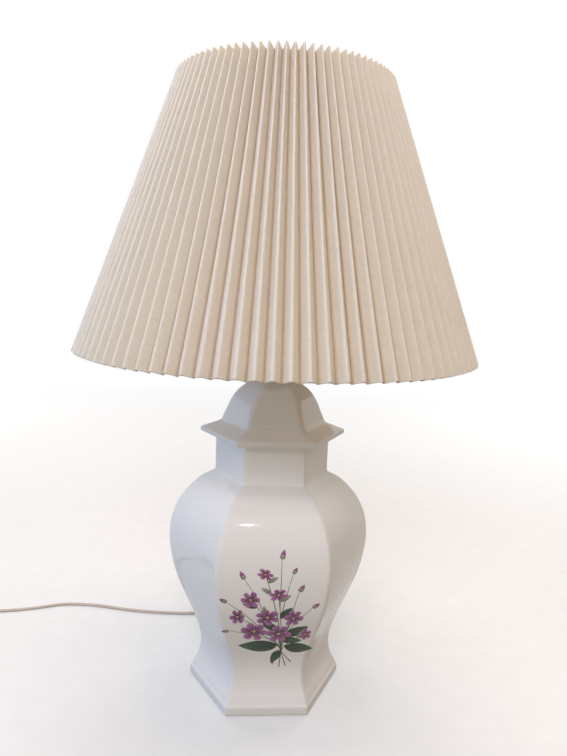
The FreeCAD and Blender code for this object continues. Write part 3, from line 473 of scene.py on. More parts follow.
def ink_look(name, stops, rim, rim_share, vein, vein_share, veins):
    """Ceramic colour under the glaze: runs along each petal or leaf, with a rim and fine veins."""
    look = Look(name)
    along, across, tone = (look.node("ShaderNodeAttribute", attribute_name=key).outputs["Fac"]
                           for key in ("along", "across", "tone"))
    blotch = look.maths("SUBTRACT", look.noise(420.0, 3.0, 0.6), 0.5)
    drift = look.maths("MULTIPLY_ADD", blotch, 0.5, along)
    colour = look.ramp(look.maths("ADD", drift, tone), stops)
    aside = look.maths("ABSOLUTE", across)
    edge = look.maths("POWER", aside, 5.0)
    colour = look.mix(look.maths("MULTIPLY", edge, rim_share), colour, rim)
    fan = look.maths("MULTIPLY_ADD", aside, veins, look.maths("MULTIPLY", along, -0.8 * veins))
    line = look.spread(look.maths("PINGPONG", fan, 0.5), vein_share, 0.0, 0.0, 0.14)
    look.set(Base_Color=look.mix(line, colour, vein))
    add_gloss(look)
    return look.material


def cloth_look():
    """Cream plain weave: fine threads along and across the pleats, sparse darker flecks, and painted
    shade that darkens and browns each fold from its pale ridge to its valley. Light passes
    through it into the shade."""
    look = Look("pleated_linen")
    weft = look.noise(1.0, 2.0, 0.6, (90.0, 1900.0, 1.0), "UV")
    warp = look.noise(1.0, 2.0, 0.6, (1900.0, 140.0, 1.0), "UV")
    threads = look.maths("MULTIPLY_ADD", weft, 0.64, look.maths("MULTIPLY", warp, 0.36))
    cream = look.ramp(threads, ((0.36, (0.69, 0.61, 0.515)), (0.5, (0.735, 0.655, 0.56)),
                                (0.64, (0.78, 0.70, 0.61))))
    flecks = look.noise(1.0, 1.0, 0.5, (420.0, 1500.0, 1.0), "UV")
    cream = look.mix(look.spread(flecks, 0.0, 0.5, 0.73, 0.80), cream, (0.42, 0.32, 0.23))
    cream = look.mix(look.spread(look.noise(9.0), 0.0, 0.12), cream, (0.67, 0.595, 0.51))
    # Painted shade: across each fold the colour darkens and browns from the ridge to the valley
    across = look.node("ShaderNodeSeparateXYZ", Vector=look.place((1 / (PLEAT_LEG * MM), 1.0, 1.0), "UV"))
    fold = look.maths("PINGPONG", across.outputs["X"], 1.0)
    painted_valley_shade = look.ramp(fold, ((0.0, WHITE), (0.3, (0.99, 0.987, 0.983)), (0.72, (0.96, 0.945, 0.925)),
                            (1.0, (0.56, 0.48, 0.40))))
    look.set(Base_Color=look.mix(1.0, cream, painted_valley_shade, "MULTIPLY"), Roughness=0.86, Specular_IOR_Level=0.2,
             Sheen_Weight=0.08, Sheen_Roughness=0.5, Subsurface_Weight=0.9, Subsurface_Scale=0.003,
             Subsurface_Radius=(1.0, 0.86, 0.7))
    look.bump(threads, 0.0003, 0.4)
    return look.material


def metal_look(name, colour, roughness):
    """Metal with fine turning marks and a little tarnish."""
    look = Look(name)
    dull = tuple(0.72 * part for part in colour)
    patches = look.spread(look.noise(34.0, 4.0, 0.6), 0.0, 0.55, 0.5, 0.8)
    marks = look.noise(1.0, 2.0, 0.5, (60.0, 60.0, 2600.0))
    look.set(Base_Color=look.mix(patches, colour, dull), Metallic=1.0,
             Roughness=look.spread(marks, roughness * 0.75, roughness * 1.35))
    look.bump(marks, 0.0006, 0.12)
    return look.material


def painted_wire_look():
    look = Look("white_coated_wire")
    chips = look.noise(60.0, 4.0, 0.6)
    look.set(Base_Color=look.tones(chips, (0.74, 0.72, 0.67), (0.82, 0.80, 0.75), 0.35, 0.65),
             Roughness=look.spread(chips, 0.34, 0.5))
    look.bump(look.noise(900.0, 2.0), 0.0002, 0.3)
    return look.material


def felt_look():
    look = Look("green_felt")
    fibres = look.noise(900.0, 4.0, 0.7)
    look.set(Base_Color=look.tones(fibres, (0.025, 0.05, 0.03), (0.07, 0.12, 0.075)), Roughness=0.96,
             Sheen_Weight=0.6, Sheen_Roughness=0.6)
    look.bump(fibres, 0.0006, 0.8)
    return look.material


def moulding_look(name, low, high, roughness, coat):
    """Moulded plastic: faint flow marks in the colour and a fine texture in the gloss."""
    look = Look(name)
    flow = look.noise(25.0, 3.0, 0.6, (1, 1, 3))
    grain = look.noise(1400.0, 2.0)
    look.set(Base_Color=look.tones(flow, low, high), Coat_Weight=coat, Coat_Roughness=0.1,
             Roughness=look.spread(grain, roughness * 0.8, roughness * 1.25))
    look.bump(grain, 0.0001, 0.3)
    return look.material


def fibre_look():
    look = Look("pressed_fibre")
    fibres = look.noise(160.0, 5.0, 0.7, (1, 1, 5))
    look.set(Base_Color=look.tones(fibres, (0.36, 0.29, 0.18), (0.55, 0.47, 0.33)), Roughness=0.85)
    look.bump(fibres, 0.0003, 0.5)
    return look.material


def frosted_glass_look():
    """Soft white bulb glass: a thin powder coat that lets some light through."""
    look = Look("frosted_bulb_glass")
    powder = look.noise(600.0, 3.0, 0.6)
    look.set(Base_Color=look.tones(powder, (0.90, 0.90, 0.885), (0.93, 0.93, 0.92)),
             Roughness=look.spread(powder, 0.24, 0.3), Transmission_Weight=0.06, IOR=1.45, Coat_Weight=0.5,
             Coat_Roughness=0.06)
    return look.material


def clear_glass_look(name, colour, transmission):
    look = Look(name)
    waves = look.noise(50.0, 2.0)
    look.set(Base_Color=colour, Roughness=look.spread(waves, 0.01, 0.05), Transmission_Weight=transmission,
             IOR=1.5)
    look.bump(waves, 0.0003, 0.2)
    return look.material


def sheath_look():
    """Clear sheath over tinned strands: silvery tan with the strands' twist showing through."""
    look = Look("clear_cord_sheath")
    twist = look.node("ShaderNodeTexWave", Vector=look.place((0.0, 900.0, 0.0), "UV"), Scale=1.0,
                      Distortion=0.6, Detail=1.0, bands_direction="Y").outputs["Fac"]
    strands = look.tones(twist, (0.40, 0.33, 0.27), (0.62, 0.55, 0.48), 0.2, 0.8)
    age = look.spread(look.noise(30.0), 0.0, 0.35)
    look.set(Base_Color=look.mix(age, strands, (0.50, 0.40, 0.28)), Specular_IOR_Level=0.5, Coat_Weight=0.8,
             Coat_Roughness=0.12, Roughness=look.spread(look.noise(120.0, 2.0), 0.22, 0.36))
    look.bump(twist, 0.00015, 0.4)
    return look.material


# Mesh building


def add_piece(name, vertices, faces, material, body="root"):
    mesh = bpy.data.meshes.new(name)
    mesh.from_pydata([tuple(v) for v in vertices], [], faces)
    mesh.materials.append(material)
    mesh.validate()
    mesh.shade_smooth()
    piece = bpy.data.objects.new(name, mesh)
    bpy.context.scene.collection.objects.link(piece)
    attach(piece, body)
    return piece


def ring_faces(rings, per_ring, closed=False):
    """Quads from each ring of points to the next; a closed stack also joins its last ring to its first."""
    faces = []
    for r in range(rings if closed else rings - 1):
        s = (r + 1) % rings
        for i in range(per_ring):
            j = (i + 1) % per_ring
            faces.append((r * per_ring + i, r * per_ring + j, s * per_ring + j, s * per_ring + i))
    return faces


def wrapped_places(faces, flat, per_ring, whole):
    """Flat places of the faces' corners; where a ring closes, its first point counts as past the last."""
    places = []
    for face in faces:
        closing = any(v % per_ring == per_ring - 1 for v in face)
        for v in face:
            across, along = flat[v]
            places += [across + whole if closing and v % per_ring == 0 else across, along]
    return places


def add_places(piece, name, places):
    piece.data.uv_layers.new(name=name).data.foreach_set("uv", places)


def thicken(piece, thickness, offset):
    shell = piece.modifiers.new("thickness", "SOLIDIFY")
    shell.thickness = thickness * MM
    shell.offset = offset


def natural_spline(stations, spacing):
    """Points at an even spacing on the natural cubic curve through (height, width) stations."""
    z = np.array([s[0] for s in stations])
    w = np.array([s[1] for s in stations])
    h = np.diff(z)
    size = len(z)
    system = np.eye(size)
    right = np.zeros(size)
    for i in range(1, size - 1):
        system[i, i - 1:i + 2] = h[i - 1], 2 * (h[i - 1] + h[i]), h[i]
        right[i] = 6 * ((w[i + 1] - w[i]) / h[i] - (w[i] - w[i - 1]) / h[i - 1])
    bend = np.linalg.solve(system, right)
    points = []
    for value in np.linspace(z[0], z[-1], max(2, int(round((z[-1] - z[0]) / spacing)) + 1)):
        i = min(np.searchsorted(z, value, side="right") - 1, size - 2)
        a, b = z[i + 1] - value, value - z[i]
        width = ((bend[i] * a ** 3 + bend[i + 1] * b ** 3) / (6 * h[i])
                 + (w[i] / h[i] - bend[i] * h[i] / 6) * a
                 + (w[i + 1] / h[i] - bend[i + 1] * h[i] / 6) * b)
        points.append((float(width), float(value)))
    return points


def stretch_stations(shares, low, high, narrow, wide):
    """(height, corner radius) stations from shares of a rise and of a change in radius."""
    return [(low + (high - low) * up, narrow + (wide - narrow) * out) for up, out in shares]


def jar_side_curve():
    """(corner radius, height) points of the jar's side from the foot to the neck's root."""
    stations = stretch_stations(FLARE_SHARES, FOOT_TOP_Z, WAIST_Z, WAIST_CORNER, FOOT_CORNER - FOOT_LEDGE)
    stations += stretch_stations(SWELL_SHARES, WAIST_Z, BELLY_Z, WAIST_CORNER, BELLY_CORNER)
    stations += stretch_stations(SHOULDER_SHARES, BELLY_Z, NECK_ROOT_Z, NECK_CORNER, BELLY_CORNER)
    return natural_spline(stations, SIDE_SPACING)


def arc_between(start, corner, end, steps):
    """Points of a smooth bend from start to end that leaves and arrives along the lines to the corner."""
    points = []
    for k in range(steps + 1):
        t = k / steps
        points.append(start * (1 - t) ** 2 + corner * (2 * t * (1 - t)) + end * t ** 2)
    return points


def soften(outline):
    """Replaces each outline point that has a rounding by a small arc between its neighbours."""
    result = []
    count = len(outline)
    for i, (w, z, rounding) in enumerate(outline):
        if rounding <= 0:
            result.append((w, z))
            continue
        here = Vector((w, z))
        back = Vector(outline[i - 1][:2]) - here
        ahead = Vector(outline[(i + 1) % count][:2]) - here
        cut = min(rounding, EDGE_REACH_SHARE * back.length, EDGE_REACH_SHARE * ahead.length)
        start = here + back.normalized() * cut
        end = here + ahead.normalized() * cut
        result += [(point.x, point.y) for point in arc_between(start, here, end, EDGE_STEPS)]
    return result


def six_sided_ring(corner, rounding):
    """Points of a six-sided outline whose corners are arcs; each side's points come before its arc."""
    apothem = corner * math.cos(HALF_SIDE)
    radius = min(rounding, CORNER_REACH_SHARE * apothem)
    half_flat = (apothem - radius) * math.tan(HALF_SIDE)
    ring = []
    for i in range(SIDES):
        side_angle = 2 * HALF_SIDE * i + HALF_SIDE
        outward = Vector((math.cos(side_angle), math.sin(side_angle)))
        along = Vector((-outward.y, outward.x))
        for k in range(SIDE_STEPS):
            ring.append(outward * apothem + along * half_flat * (2 * k / SIDE_STEPS - 1))
        centre = outward * (apothem - radius) + along * half_flat
        for k in range(CORNER_STEPS):
            angle = side_angle + 2 * HALF_SIDE * k / CORNER_STEPS
            ring.append(centre + Vector((math.cos(angle), math.sin(angle))) * radius)
    return ring


def six_sided_shell(name, outline, roundings, material):
    """Closed six-sided body swept round a closed (corner radius, height) outline."""
    vertices = []
    for corner, z in outline:
        rounding = np.interp(z, *zip(*roundings))
        vertices += [Vector((p.x, p.y, z)) * MM for p in six_sided_ring(corner, rounding)]
    faces = ring_faces(len(outline), len(vertices) // len(outline), closed=True)
    return add_piece(name, vertices, faces, material)


def cut_hole(piece, radius, start, end):
    """Cuts a round hole along Y, given in metres, at the cord's height and keeps the result in the mesh."""
    bpy.ops.mesh.primitive_cylinder_add(vertices=CUT_SIDES, radius=radius, depth=end - start,
                                        location=(0, (start + end) / 2, CORD_HOLE_Z * MM),
                                        rotation=(math.pi / 2, 0, 0))
    cutter = bpy.context.object
    cut = piece.modifiers.new("hole", "BOOLEAN")
    cut.object = cutter
    cut.solver = "EXACT"
    bpy.context.view_layer.update()
    mesh = bpy.data.meshes.new_from_object(piece.evaluated_get(bpy.context.evaluated_depsgraph_get()))
    piece.modifiers.clear()
    piece.data = mesh
    bpy.data.objects.remove(cutter)


def make_jar(material):
    """Jar body: its outline goes up outside from the foot and down again inside."""
    side = [(w, z, 0.0) for w, z in jar_side_curve()]
    inside = [(w - WALL_CORNER, z, 0.0) for w, z, _ in side[::-4] if z > INSIDE_Z + INSIDE_CLEARANCE]
    outline = [
        (FOOT_CORNER - FOOT_WALL, FOOT_Z, FOOT_INNER_ROUNDING),
        (FOOT_CORNER, FOOT_Z, FOOT_OUTER_ROUNDING),
        (FOOT_CORNER, FOOT_TOP_Z, FOOT_TOP_ROUNDING),
        *side[1:-3],
        (NECK_CORNER, NECK_ROOT_Z, NECK_ROOT_ROUNDING),
        *((NECK_CORNER, NECK_ROOT_Z + rise, 0.0) for rise in NECK_RING_RISES),
        (NECK_CORNER, NECK_TOP_Z, NECK_RIM_ROUNDING),
        (NECK_CORNER - WALL_CORNER, NECK_TOP_Z, NECK_RIM_ROUNDING),
        *inside,
        (inside[-1][0], INSIDE_Z, FLOOR_ROUNDING),
        (HOLE_CORNER, INSIDE_Z, HOLE_ROUNDING),
        (HOLE_CORNER, FLOOR_Z, HOLE_ROUNDING),
        (WAIST_CORNER - FOOT_WALL, FLOOR_Z, FLOOR_ROUNDING),
    ]
    jar = six_sided_shell("jar_glazed_body", soften(outline), JAR_ROUNDINGS, material)
    seat_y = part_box("cord_bushing")[1].y - SEAT_DEPTH * MM
    cut_hole(jar, SEAT_RADIUS * MM, seat_y, seat_y + SEAT_CUT_LENGTH * MM)
    cut_hole(jar, BORE_RADIUS * MM, seat_y - BORE_CUT_LENGTH * MM, seat_y + BORE_OVERLAP * MM)
    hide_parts("jar_body")


def make_lid(material):
    """Lid: its outline goes from the brim over the dome to the hole, and back inside down to the lip."""
    curve = natural_spline(
        stretch_stations(DOME_SHARES, DOME_ROOT_Z, LID_TOP_Z, LID_TOP_CORNER, DOME_ROOT_CORNER), DOME_SPACING)
    side = [(w, z) for w, z in curve if z > DOME_ROOT_Z + BRIM_BLEND]
    root = Vector((DOME_ROOT_CORNER, DOME_ROOT_Z))
    rim = Vector((BRIM_CORNER, BRIM_TOP_Z))
    blend = arc_between(root + (rim - root).normalized() * BRIM_BLEND, root, Vector(side[0]), BLEND_STEPS)
    ceiling = [(w - LID_WALL_CORNER, z - LID_WALL_DROP) for w, z in curve[::-3]]
    lip_inside = LIP_CORNER - LID_WALL_CORNER
    outline = [
        (BRIM_CORNER, NECK_TOP_Z, BRIM_BOTTOM_ROUNDING),
        (BRIM_CORNER, BRIM_TOP_Z, BRIM_TOP_ROUNDING),
        *((point.x, point.y, 0.0) for point in blend),
        *((w, z, 0.0) for w, z in side[1:-1]),
        (LID_TOP_CORNER, LID_TOP_Z, LID_TOP_ROUNDING),
        (HOLE_CORNER, LID_TOP_Z, LID_HOLE_ROUNDING),
        (HOLE_CORNER, ceiling[0][1], LID_HOLE_ROUNDING),
        *((w, z, 0.0) for w, z in ceiling if z > NECK_TOP_Z + CEILING_CLEARANCE and w < lip_inside),
        (lip_inside, NECK_TOP_Z + LIP_INSIDE_RISE, 0.0),
        (lip_inside, LIP_Z, LIP_ROUNDING),
        (LIP_CORNER, LIP_Z, LIP_ROUNDING),
        (LIP_CORNER, NECK_TOP_Z, LIP_SEAT_ROUNDING),
    ]
    lid = six_sided_shell("jar_glazed_lid", soften(outline), LID_ROUNDINGS, material)
    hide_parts("jar_lid")


def fold_depth(share):
    """Depth inside the ridge line, from 0 to 1, across one fold with a soft ridge and a sharper valley."""
    depth = 1 - abs(2 * share - 1)
    ridge, valley = RIDGE_ROUNDING_SHARE, VALLEY_ROUNDING_SHARE
    if depth < ridge:
        depth = (depth ** 2 + ridge ** 2) / (2 * ridge)
    elif depth > 1 - valley:
        depth = 1 - ((1 - depth) ** 2 + valley ** 2) / (2 * valley)
    return float(np.interp(depth, (ridge / 2, 1 - valley / 2), FOLD_REACH_SHARES))


def make_pleated_cover(material):
    """Folded cloth: every leg keeps its length from the wide bottom edge to the narrow top."""
    draw = random.Random(PLEAT_SEED)
    lean = [draw.gauss(0, PLEAT_LEAN_SHARE) for _ in range(PLEATS)]
    waver = [(draw.gauss(0, PLEAT_WAVER_SHARE), draw.uniform(0, math.tau)) for _ in range(PLEATS)]
    reach = [1 + draw.gauss(0, PLEAT_DEPTH_SHARE) for _ in range(PLEATS)]
    drop = RIDGE_BOTTOM_RADIUS - RIDGE_TOP_RADIUS
    cone = math.atan2(drop, RIDGE_RISE)
    slant = math.hypot(drop, RIDGE_RISE)
    bottom_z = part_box("pleated_cover")[1].z / MM - RIDGE_RISE
    shares = list(LEG_SHARES) + [1 - share for share in LEG_SHARES[-2:0:-1]]
    rises = [CUT_EDGE_SHARE, 1 - CUT_EDGE_SHARE] + [row / COVER_ROWS for row in range(COVER_ROWS + 1)]
    vertices = []
    flat = []
    for up in sorted(rises):
        ridge_radius = RIDGE_BOTTOM_RADIUS - drop * up
        full_depth = math.sqrt(PLEAT_LEG ** 2 - (math.pi * ridge_radius / PLEATS) ** 2)
        shift = [side + swing * math.sin(math.tau * up + start) for side, (swing, start) in zip(lean, waver)]
        for pleat in range(PLEATS):
            for share in shares:
                nudge = shift[pleat] * (1 - share) + shift[(pleat + 1) % PLEATS] * share
                angle = math.tau * (pleat + share + nudge) / PLEATS
                depth = fold_depth(share) * full_depth * reach[pleat]
                radius = ridge_radius - depth * math.cos(cone)
                z = bottom_z + RIDGE_RISE * up - depth * math.sin(cone)
                vertices.append(Vector((radius * math.cos(angle), radius * math.sin(angle), z)) * MM)
                flat.append(((pleat + share) * 2 * PLEAT_LEG * MM, slant * up * MM))
    columns = PLEATS * len(shares)
    faces = ring_faces(len(rises), columns)
    whole = 2 * PLEATS * PLEAT_LEG * MM
    cover = add_piece("shade_pleated_cloth", vertices, faces, material, "shade")
    add_places(cover, "cloth", wrapped_places(faces, flat, columns, whole))
    thicken(cover, CLOTH_THICKNESS, -1.0)
    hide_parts("pleated_cover")


# Flowers


class Ink:
    """Thin shapes that lie on the front side, gathered into one piece with their run, rim and tone."""

    def __init__(self):
        self.vertices = []
        self.faces = []
        self.values = {"along": [], "across": [], "tone": []}
        curve = [(w, z) for w, z in jar_side_curve() if z >= WAIST_Z]
        self.side_y = [-w * math.cos(HALF_SIDE) for w, _ in curve]
        self.side_z = [z for _, z in curve]
        steps = np.hypot(np.diff(self.side_y), np.diff(self.side_z))
        self.run = np.concatenate(([0.0], np.cumsum(steps)))

    def add_point(self, x, height, layer, along, across, tone):
        y = np.interp(height, self.run, self.side_y) - (INK_LIFT + INK_STEP * layer)
        self.vertices.append(Vector((x, y, np.interp(height, self.run, self.side_z))) * MM)
        self.values["along"].append(along)
        self.values["across"].append(across)
        self.values["tone"].append(tone)

    def blade(self, start, angle, length, widths, rows, layer, bend=0.0, tone=0.0, squash=None):
        """A petal, leaf, bud or eye: widths gives its half width at each share of its length."""
        ahead = Vector((math.cos(angle), math.sin(angle)))
        aside = Vector((-ahead.y, ahead.x))
        first = len(self.vertices)
        for i in range(rows + 1):
            share = i / rows
            for j in range(BLADE_COLUMNS):
                across = 2 * j / (BLADE_COLUMNS - 1) - 1
                offset = ahead * length * share + aside * (across * widths(share) + bend * share ** 2)
                if squash:
                    lean, opening = squash
                    offset -= lean * offset.dot(lean) * (1 - opening)
                self.add_point(start[0] + offset.x, start[1] + offset.y, layer, share, across, tone)
        for i in range(rows):
            for j in range(BLADE_COLUMNS - 1):
                at = first + i * BLADE_COLUMNS + j
                self.faces.append((at, at + 1, at + BLADE_COLUMNS + 1, at + BLADE_COLUMNS))

    def stem(self, line, width):
        """A thin line that tapers a little towards its end."""
        first = len(self.vertices)
        last = len(line) - 1
        for i, point in enumerate(line):
            ahead = (line[min(i + 1, last)] - line[max(i - 1, 0)]).normalized()
            half = Vector((-ahead.y, ahead.x)) * width / 2 * np.interp(i / last, (0, 1), STEM_TAPER_SHARES)
            for side in (-1, 1):
                spot = point + half * side
                self.add_point(spot.x, spot.y, 0, i / last, 0.0, 0.0)
        for i in range(last):
            at = first + 2 * i
            self.faces.append((at, at + 1, at + 3, at + 2))

    def make_piece(self, name):
        piece = add_piece(name, self.vertices, self.faces, ink_look(**INKS[name]))
        for key, values in self.values.items():
            piece.data.attributes.new(key, "FLOAT", "POINT").data.foreach_set("value", values)
        thicken(piece, INK_THICKNESS, 1.0)


def petal_width(length):
    """Half width of a rounded petal along its length, with a narrow foot."""
    foot = PETAL_FOOT_SHARE
    return lambda share: (length * PETAL_WIDTH_SHARE * (foot + (1 - foot) * share ** 0.8)
                          * math.sqrt(max(0.0, 1 - share ** 6)))


def leaf_width(width):
    """Half width of a slender leaf that ends in a point."""
    return lambda share: width / 2 * math.sin(math.pi * share ** 0.8) ** 0.85 if 0 < share < 1 else 0.0


def round_width(radius):
    """Half width of a round spot along its diameter."""
    return lambda share: 2 * radius * math.sqrt(share * (1 - share))


def stem_bend(start, end, sway):
    """A line that leaves upwards and bends towards its end."""
    middle = Vector((start.x + (end.x - start.x) * sway, (start.y + end.y) / 2))
    return arc_between(start, middle, end, STEM_STEPS)


def stem_line(number):
    """The line from the foot of the spray to one of its blossoms."""
    return stem_bend(Vector(STEM_FOOT), Vector(BLOSSOMS[number][:2]), STEM_SWAY_SHARE)


def branch_point(number, share):
    """A point on a blossom's stem, at a share of its length."""
    return stem_line(number)[int(round(share * STEM_STEPS))]


def draw_stems(stems):
    for place in STEM_ENDS:
        stems.stem(stem_bend(Vector(place), Vector(STEM_FOOT), STEM_END_SWAY_SHARE), STEM_WIDTH)
    for number in range(len(BLOSSOMS)):
        stems.stem(stem_line(number), STEM_WIDTH)
    for x, height, _, _, number, share in BUDS:
        line = stem_bend(branch_point(number, share), Vector((x, height)), BUD_SWAY_SHARE)
        stems.stem(line, BUD_STEM_WIDTH)


def draw_leaves(ink, leaves, tones, draw):
    for number, (stem, share, direction, length, width, bend) in enumerate(leaves):
        ink.blade(branch_point(stem, share), math.radians(direction), length, leaf_width(width), LEAF_ROWS,
                  number + 1, bend, draw.uniform(*tones))


def draw_buds(petals, cups, draw):
    for x, height, direction, length, _, _ in BUDS:
        angle = math.radians(direction)
        petals.blade((x, height), angle, length, leaf_width(BUD_WIDTH_SHARE * length), SMALL_ROWS, 1,
                     tone=draw.uniform(-BUD_TONE, BUD_TONE))
        cups.blade((x, height), angle, CUP_LENGTH_SHARE * length, leaf_width(CUP_WIDTH_SHARE * length),
                   SMALL_ROWS, 2)


def draw_blossoms(petals, eyes, draw):
    """Blossoms with every other petal a layer higher; the first blossom lies on top."""
    for number, (x, height, radius, lean, opening) in enumerate(BLOSSOMS):
        squash = (Vector((math.cos(lean), math.sin(lean))), opening)
        turn = draw.uniform(0, math.tau / PETALS)
        layer = BLOSSOM_FIRST_LAYER + BLOSSOM_LAYERS * (len(BLOSSOMS) - number)
        for k in range(PETALS):
            angle = turn + math.tau / PETALS * k + draw.uniform(-PETAL_TURN, PETAL_TURN)
            size = radius * draw.uniform(*PETAL_SIZE_SHARES)
            bend = draw.uniform(-PETAL_BEND, PETAL_BEND)
            tone = draw.uniform(-PETAL_TONE, PETAL_TONE)
            petals.blade((x, height), angle, size, petal_width(size), PETAL_ROWS, layer + k % 2, bend, tone,
                         squash)
        eye = EYE_SHARE * radius
        eyes.blade((x - eye, height), 0.0, 2 * eye, round_width(eye), SMALL_ROWS, layer + 2)


def make_flowers():
    """A loose spray of six-petalled blossoms, buds and slender leaves on the front side of the jar."""
    draw = random.Random(SPRAY_SEED)
    inks = {name: Ink() for name in INKS}
    draw_leaves(inks["flower_leaves"], LEAVES, LEAF_TONES, draw)
    draw_leaves(inks["flower_pale_leaves"], PALE_LEAVES, PALE_TONES, draw)
    draw_buds(inks["flower_petals"], inks["flower_pale_leaves"], draw)
    draw_blossoms(inks["flower_petals"], inks["flower_eyes"], draw)
    draw_stems(inks["flower_stems"])
    for name, ink in inks.items():
        ink.make_piece(name)


# Cord


def cord_points():
    """The listed route, then the coil by its turns, then the tail into the plug, in metres."""
    exit_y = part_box("cord_bushing")[1].y / MM
    rest_z = CORD_THICKNESS / MM / 2
    lying = CORD_ROUTE[-1][2]
    points = [(x, exit_y + y, CORD_HOLE_Z + z if z > lying else rest_z) for x, y, z in CORD_ROUTE]
    centre_y = exit_y + CORD_ROUTE[-1][1] - COIL_OUTER_RADIUS
    steps = int(round((COIL_TURNS_IN + CLIMB_TURNS + COIL_TURNS_OUT) * COIL_STEPS))
    turn_back = COIL_TURNS_IN + CLIMB_TURNS / 2
    spread = 1 / math.cos(math.pi / COIL_STEPS) ** 2
    for k in range(steps + 1):
        turn = k / COIL_STEPS
        inward = turn if turn <= turn_back else 2 * turn_back - turn
        climb = min(max((turn - COIL_TURNS_IN) / CLIMB_TURNS, 0.0), 1.0)
        radius = (COIL_OUTER_RADIUS - COIL_PITCH * inward) * (spread if 0 < k < steps else 1.0)
        angle = math.pi / 2 + math.tau * turn
        points.append((COIL_CENTRE_X + radius * math.cos(angle), centre_y + radius * math.sin(angle),
                       rest_z + COIL_LAYER * climb))
    last_x, last_y, _ = points[-1]
    points.append((last_x - COIL_TAIL / 2, last_y, rest_z + COIL_LAYER))
    points.append((last_x - COIL_TAIL, last_y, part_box("plug_body")[1].z / MM / 2))
    return [Vector(point) * MM for point in points]


def cord_line(points):
    """Points along the smooth line that has the route's points as its control points."""
    data = bpy.data.curves.new("cord_route", "CURVE")
    data.dimensions = "3D"
    data.resolution_u = ROUTE_FINENESS
    spline = data.splines.new("NURBS")
    spline.points.add(len(points) - 1)
    for target, point in zip(spline.points, points):
        target.co = (*point, 1.0)
    spline.order_u = 3
    spline.use_endpoint_u = True
    route = bpy.data.objects.new("cord_route", data)
    bpy.context.scene.collection.objects.link(route)
    bpy.context.view_layer.update()
    line = bpy.data.meshes.new_from_object(route)
    path = [v.co.copy() for v in line.vertices]
    bpy.data.objects.remove(route)
    return path


def twin_section():
    """Outline of the flat cord: two round lobes side by side, as (across, up)."""
    lobe = CORD_THICKNESS / 2
    centre = CORD_WIDTH / 2 - lobe
    seam = math.radians(LOBE_SEAM_ANGLE)
    outline = []
    for side in (1, -1):
        for k in range(LOBE_STEPS + 1):
            angle = -math.pi + seam + (math.tau - 2 * seam) * k / LOBE_STEPS
            outline.append((side * (centre + lobe * math.cos(angle)), side * lobe * math.sin(angle)))
    return outline


def make_cord(material):
    path = cord_line(cord_points())
    section = twin_section()
    per_ring = len(section)
    vertices = []
    flat = []
    run = 0.0
    for i, point in enumerate(path):
        before, after = path[max(i - 1, 0)], path[min(i + 1, len(path) - 1)]
        ahead = (after - before).normalized()
        across = ahead.cross(Vector((0, 0, 1))).normalized()
        up = across.cross(ahead)
        run += (point - before).length
        for k, (a, b) in enumerate(section):
            vertices.append(point + across * a + up * b)
            flat.append((k / per_ring, run))
    walls = [(a, d, c, b) for a, b, c, d in ring_faces(len(path), per_ring)]
    last = len(vertices) - per_ring
    caps = [tuple(range(per_ring)), tuple(reversed(range(last, last + per_ring)))]
    cord = add_piece("mains_cord", vertices, walls + caps, material)
    add_places(cord, "length", wrapped_places(walls, flat, per_ring, 1.0) + [0.0, 0.0] * (2 * per_ring))
    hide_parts("cord_run", "cord_coil")


# Stage, light and camera


def make_camera():
    """Camera where the photograph was taken from, with the picture turned a little clockwise."""
    yaw, pitch, roll = (math.radians(v) for v in (CAMERA_YAW, CAMERA_PITCH, CAMERA_ROLL))
    ahead = Vector((math.sin(yaw) * math.cos(pitch), math.cos(yaw) * math.cos(pitch), -math.sin(pitch)))
    level = ahead.cross(Vector((0, 0, 1))).normalized()
    upright = level.cross(ahead)
    right = level * math.cos(roll) + upright * math.sin(roll)
    up = upright * math.cos(roll) - level * math.sin(roll)
    data = bpy.data.cameras.new("camera")
    data.lens = CAMERA_LENS
    data.sensor_width = SENSOR_WIDTH
    data.clip_start = NEAREST_SEEN
    camera = bpy.data.objects.new("camera", data)
    turn = Matrix((right, up, -ahead)).transposed().to_4x4()
    camera.matrix_world = Matrix.Translation(CAMERA_PLACE) @ turn
    bpy.context.scene.collection.objects.link(camera)
    bpy.context.scene.camera = camera


def add_light(aim, name, place, size, power, colour, only_mirrored=False):
    """An area light that isn't mirrored in glossy surfaces, or one that is only mirrored there."""
    data = bpy.data.lights.new(name, "AREA")
    data.shape = "RECTANGLE"
    data.size, data.size_y = size
    data.energy = power
    data.color = colour
    light = bpy.data.objects.new(name, data)
    light.location = place
    light.rotation_euler = (Vector(aim) - Vector(place)).to_track_quat("-Z", "Y").to_euler()
    light.visible_glossy = only_mirrored
    light.visible_diffuse = not only_mirrored
    bpy.context.scene.collection.objects.link(light)


def make_lights():
    for light in LIGHTS:
        add_light(LIGHTS_AIM, *light)
    add_light(SPARK_AIM, *SPARK, only_mirrored=True)


def make_world():
    """Pale light from all round; the camera, mirrors and glass see plain white."""
    world = bpy.data.worlds.new("studio")
    world.use_nodes = True
    bpy.context.scene.world = world
    tree = Nodes(world.node_tree)
    tree.nodes.clear()
    ambient = tree.node("ShaderNodeBackground", Color=AMBIENT_COLOUR, Strength=AMBIENT_STRENGTH)
    white = tree.node("ShaderNodeBackground", Color=WHITE)
    rays = tree.node("ShaderNodeLightPath").outputs
    bounced = tree.maths("MAXIMUM", rays["Is Glossy Ray"], rays["Is Transmission Ray"])
    seen = tree.maths("MAXIMUM", rays["Is Camera Ray"], bounced)
    tree.node("ShaderNodeOutputWorld", Surface=tree.mix_shaders(seen, ambient.outputs[0], white.outputs[0]))


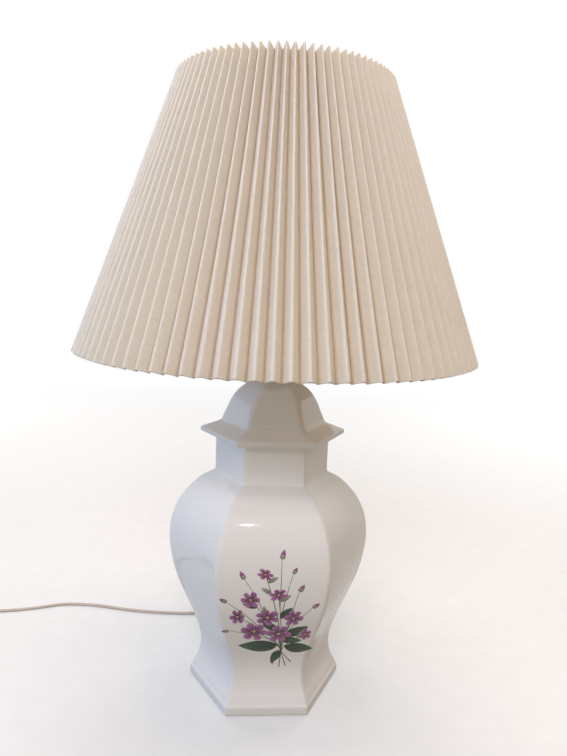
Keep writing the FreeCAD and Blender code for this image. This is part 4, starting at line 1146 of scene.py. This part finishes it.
def make_floor():
    """Pale round floor that fades into the white surroundings away from the lamp, open from below."""
    bpy.ops.mesh.primitive_circle_add(vertices=FLOOR_SIDES, radius=FLOOR_RADIUS, fill_type="NGON",
                                      location=(0, 0, 0))
    floor = bpy.context.object
    floor.name = "studio_floor"
    look = Look("floor_paint")
    rays = look.node("ShaderNodeLightPath").outputs
    seen = look.maths("MAXIMUM", rays["Is Camera Ray"], rays["Is Glossy Ray"])
    pale = look.tones(look.noise(40.0), (0.80, 0.80, 0.79), (0.83, 0.83, 0.82))
    look.set(Base_Color=look.mix(seen, FLOOR_BOUNCE, pale), Roughness=0.8, Specular_IOR_Level=0.2)
    place = look.place((FLOOR_FADE_SCALE,) * 3)
    centre = look.node("ShaderNodeTexGradient", gradient_type="SPHERICAL", Vector=place)
    far = look.spread(centre.outputs["Fac"], 1.0, 0.22, 0.12, 0.72)
    white = look.node("ShaderNodeEmission").outputs[0]
    painted = look.mix_shaders(look.maths("MULTIPLY", far, seen), look.shader.outputs[0], white)
    below = look.node("ShaderNodeNewGeometry").outputs["Backfacing"]
    surface = look.mix_shaders(below, painted, look.node("ShaderNodeBsdfTransparent").outputs[0])
    output = next(n for n in look.nodes if n.type == "OUTPUT_MATERIAL")
    look.fill(output.inputs["Surface"], surface)
    floor.data.materials.append(look.material)


def dress_nodes():
    """Gives every carried-over piece its finish, by the record's material slots."""
    looks = {slot: metal_look(*values) for slot, values in METALS.items()}
    looks |= {slot: moulding_look(*values) for slot, values in MOULDINGS.items()}
    looks |= {
        "felt": felt_look(),
        "white_wire": painted_wire_look(),
        "fibre_sleeve": fibre_look(),
        "frosted_glass": frosted_glass_look(),
        "clear_glass": clear_glass_look("stem_glass", (0.93, 0.97, 0.95), 0.95),
        "black_glass": clear_glass_look("black_insulator", (0.02, 0.02, 0.025), 0.0),
        "cord_sheath": sheath_look(),
    }
    for subpart in frame["record"]["subparts"]:
        look = looks.get(subpart["material_slot"])
        node = frame["nodes"][subpart["node"]]
        if look:
            node.data.materials.clear()
            node.data.materials.append(look)
            node.data.shade_smooth()
            node.data.set_sharp_from_angle(angle=math.radians(SHARP_ANGLE))
    return looks


def main():
    bpy.context.scene.view_settings.view_transform = "Standard"
    make_camera()
    make_world()
    make_floor()
    make_lights()
    looks = dress_nodes()
    glaze = glaze_look()
    make_jar(glaze)
    make_lid(glaze)
    make_flowers()
    make_pleated_cover(cloth_look())
    make_cord(looks["cord_sheath"])


main()
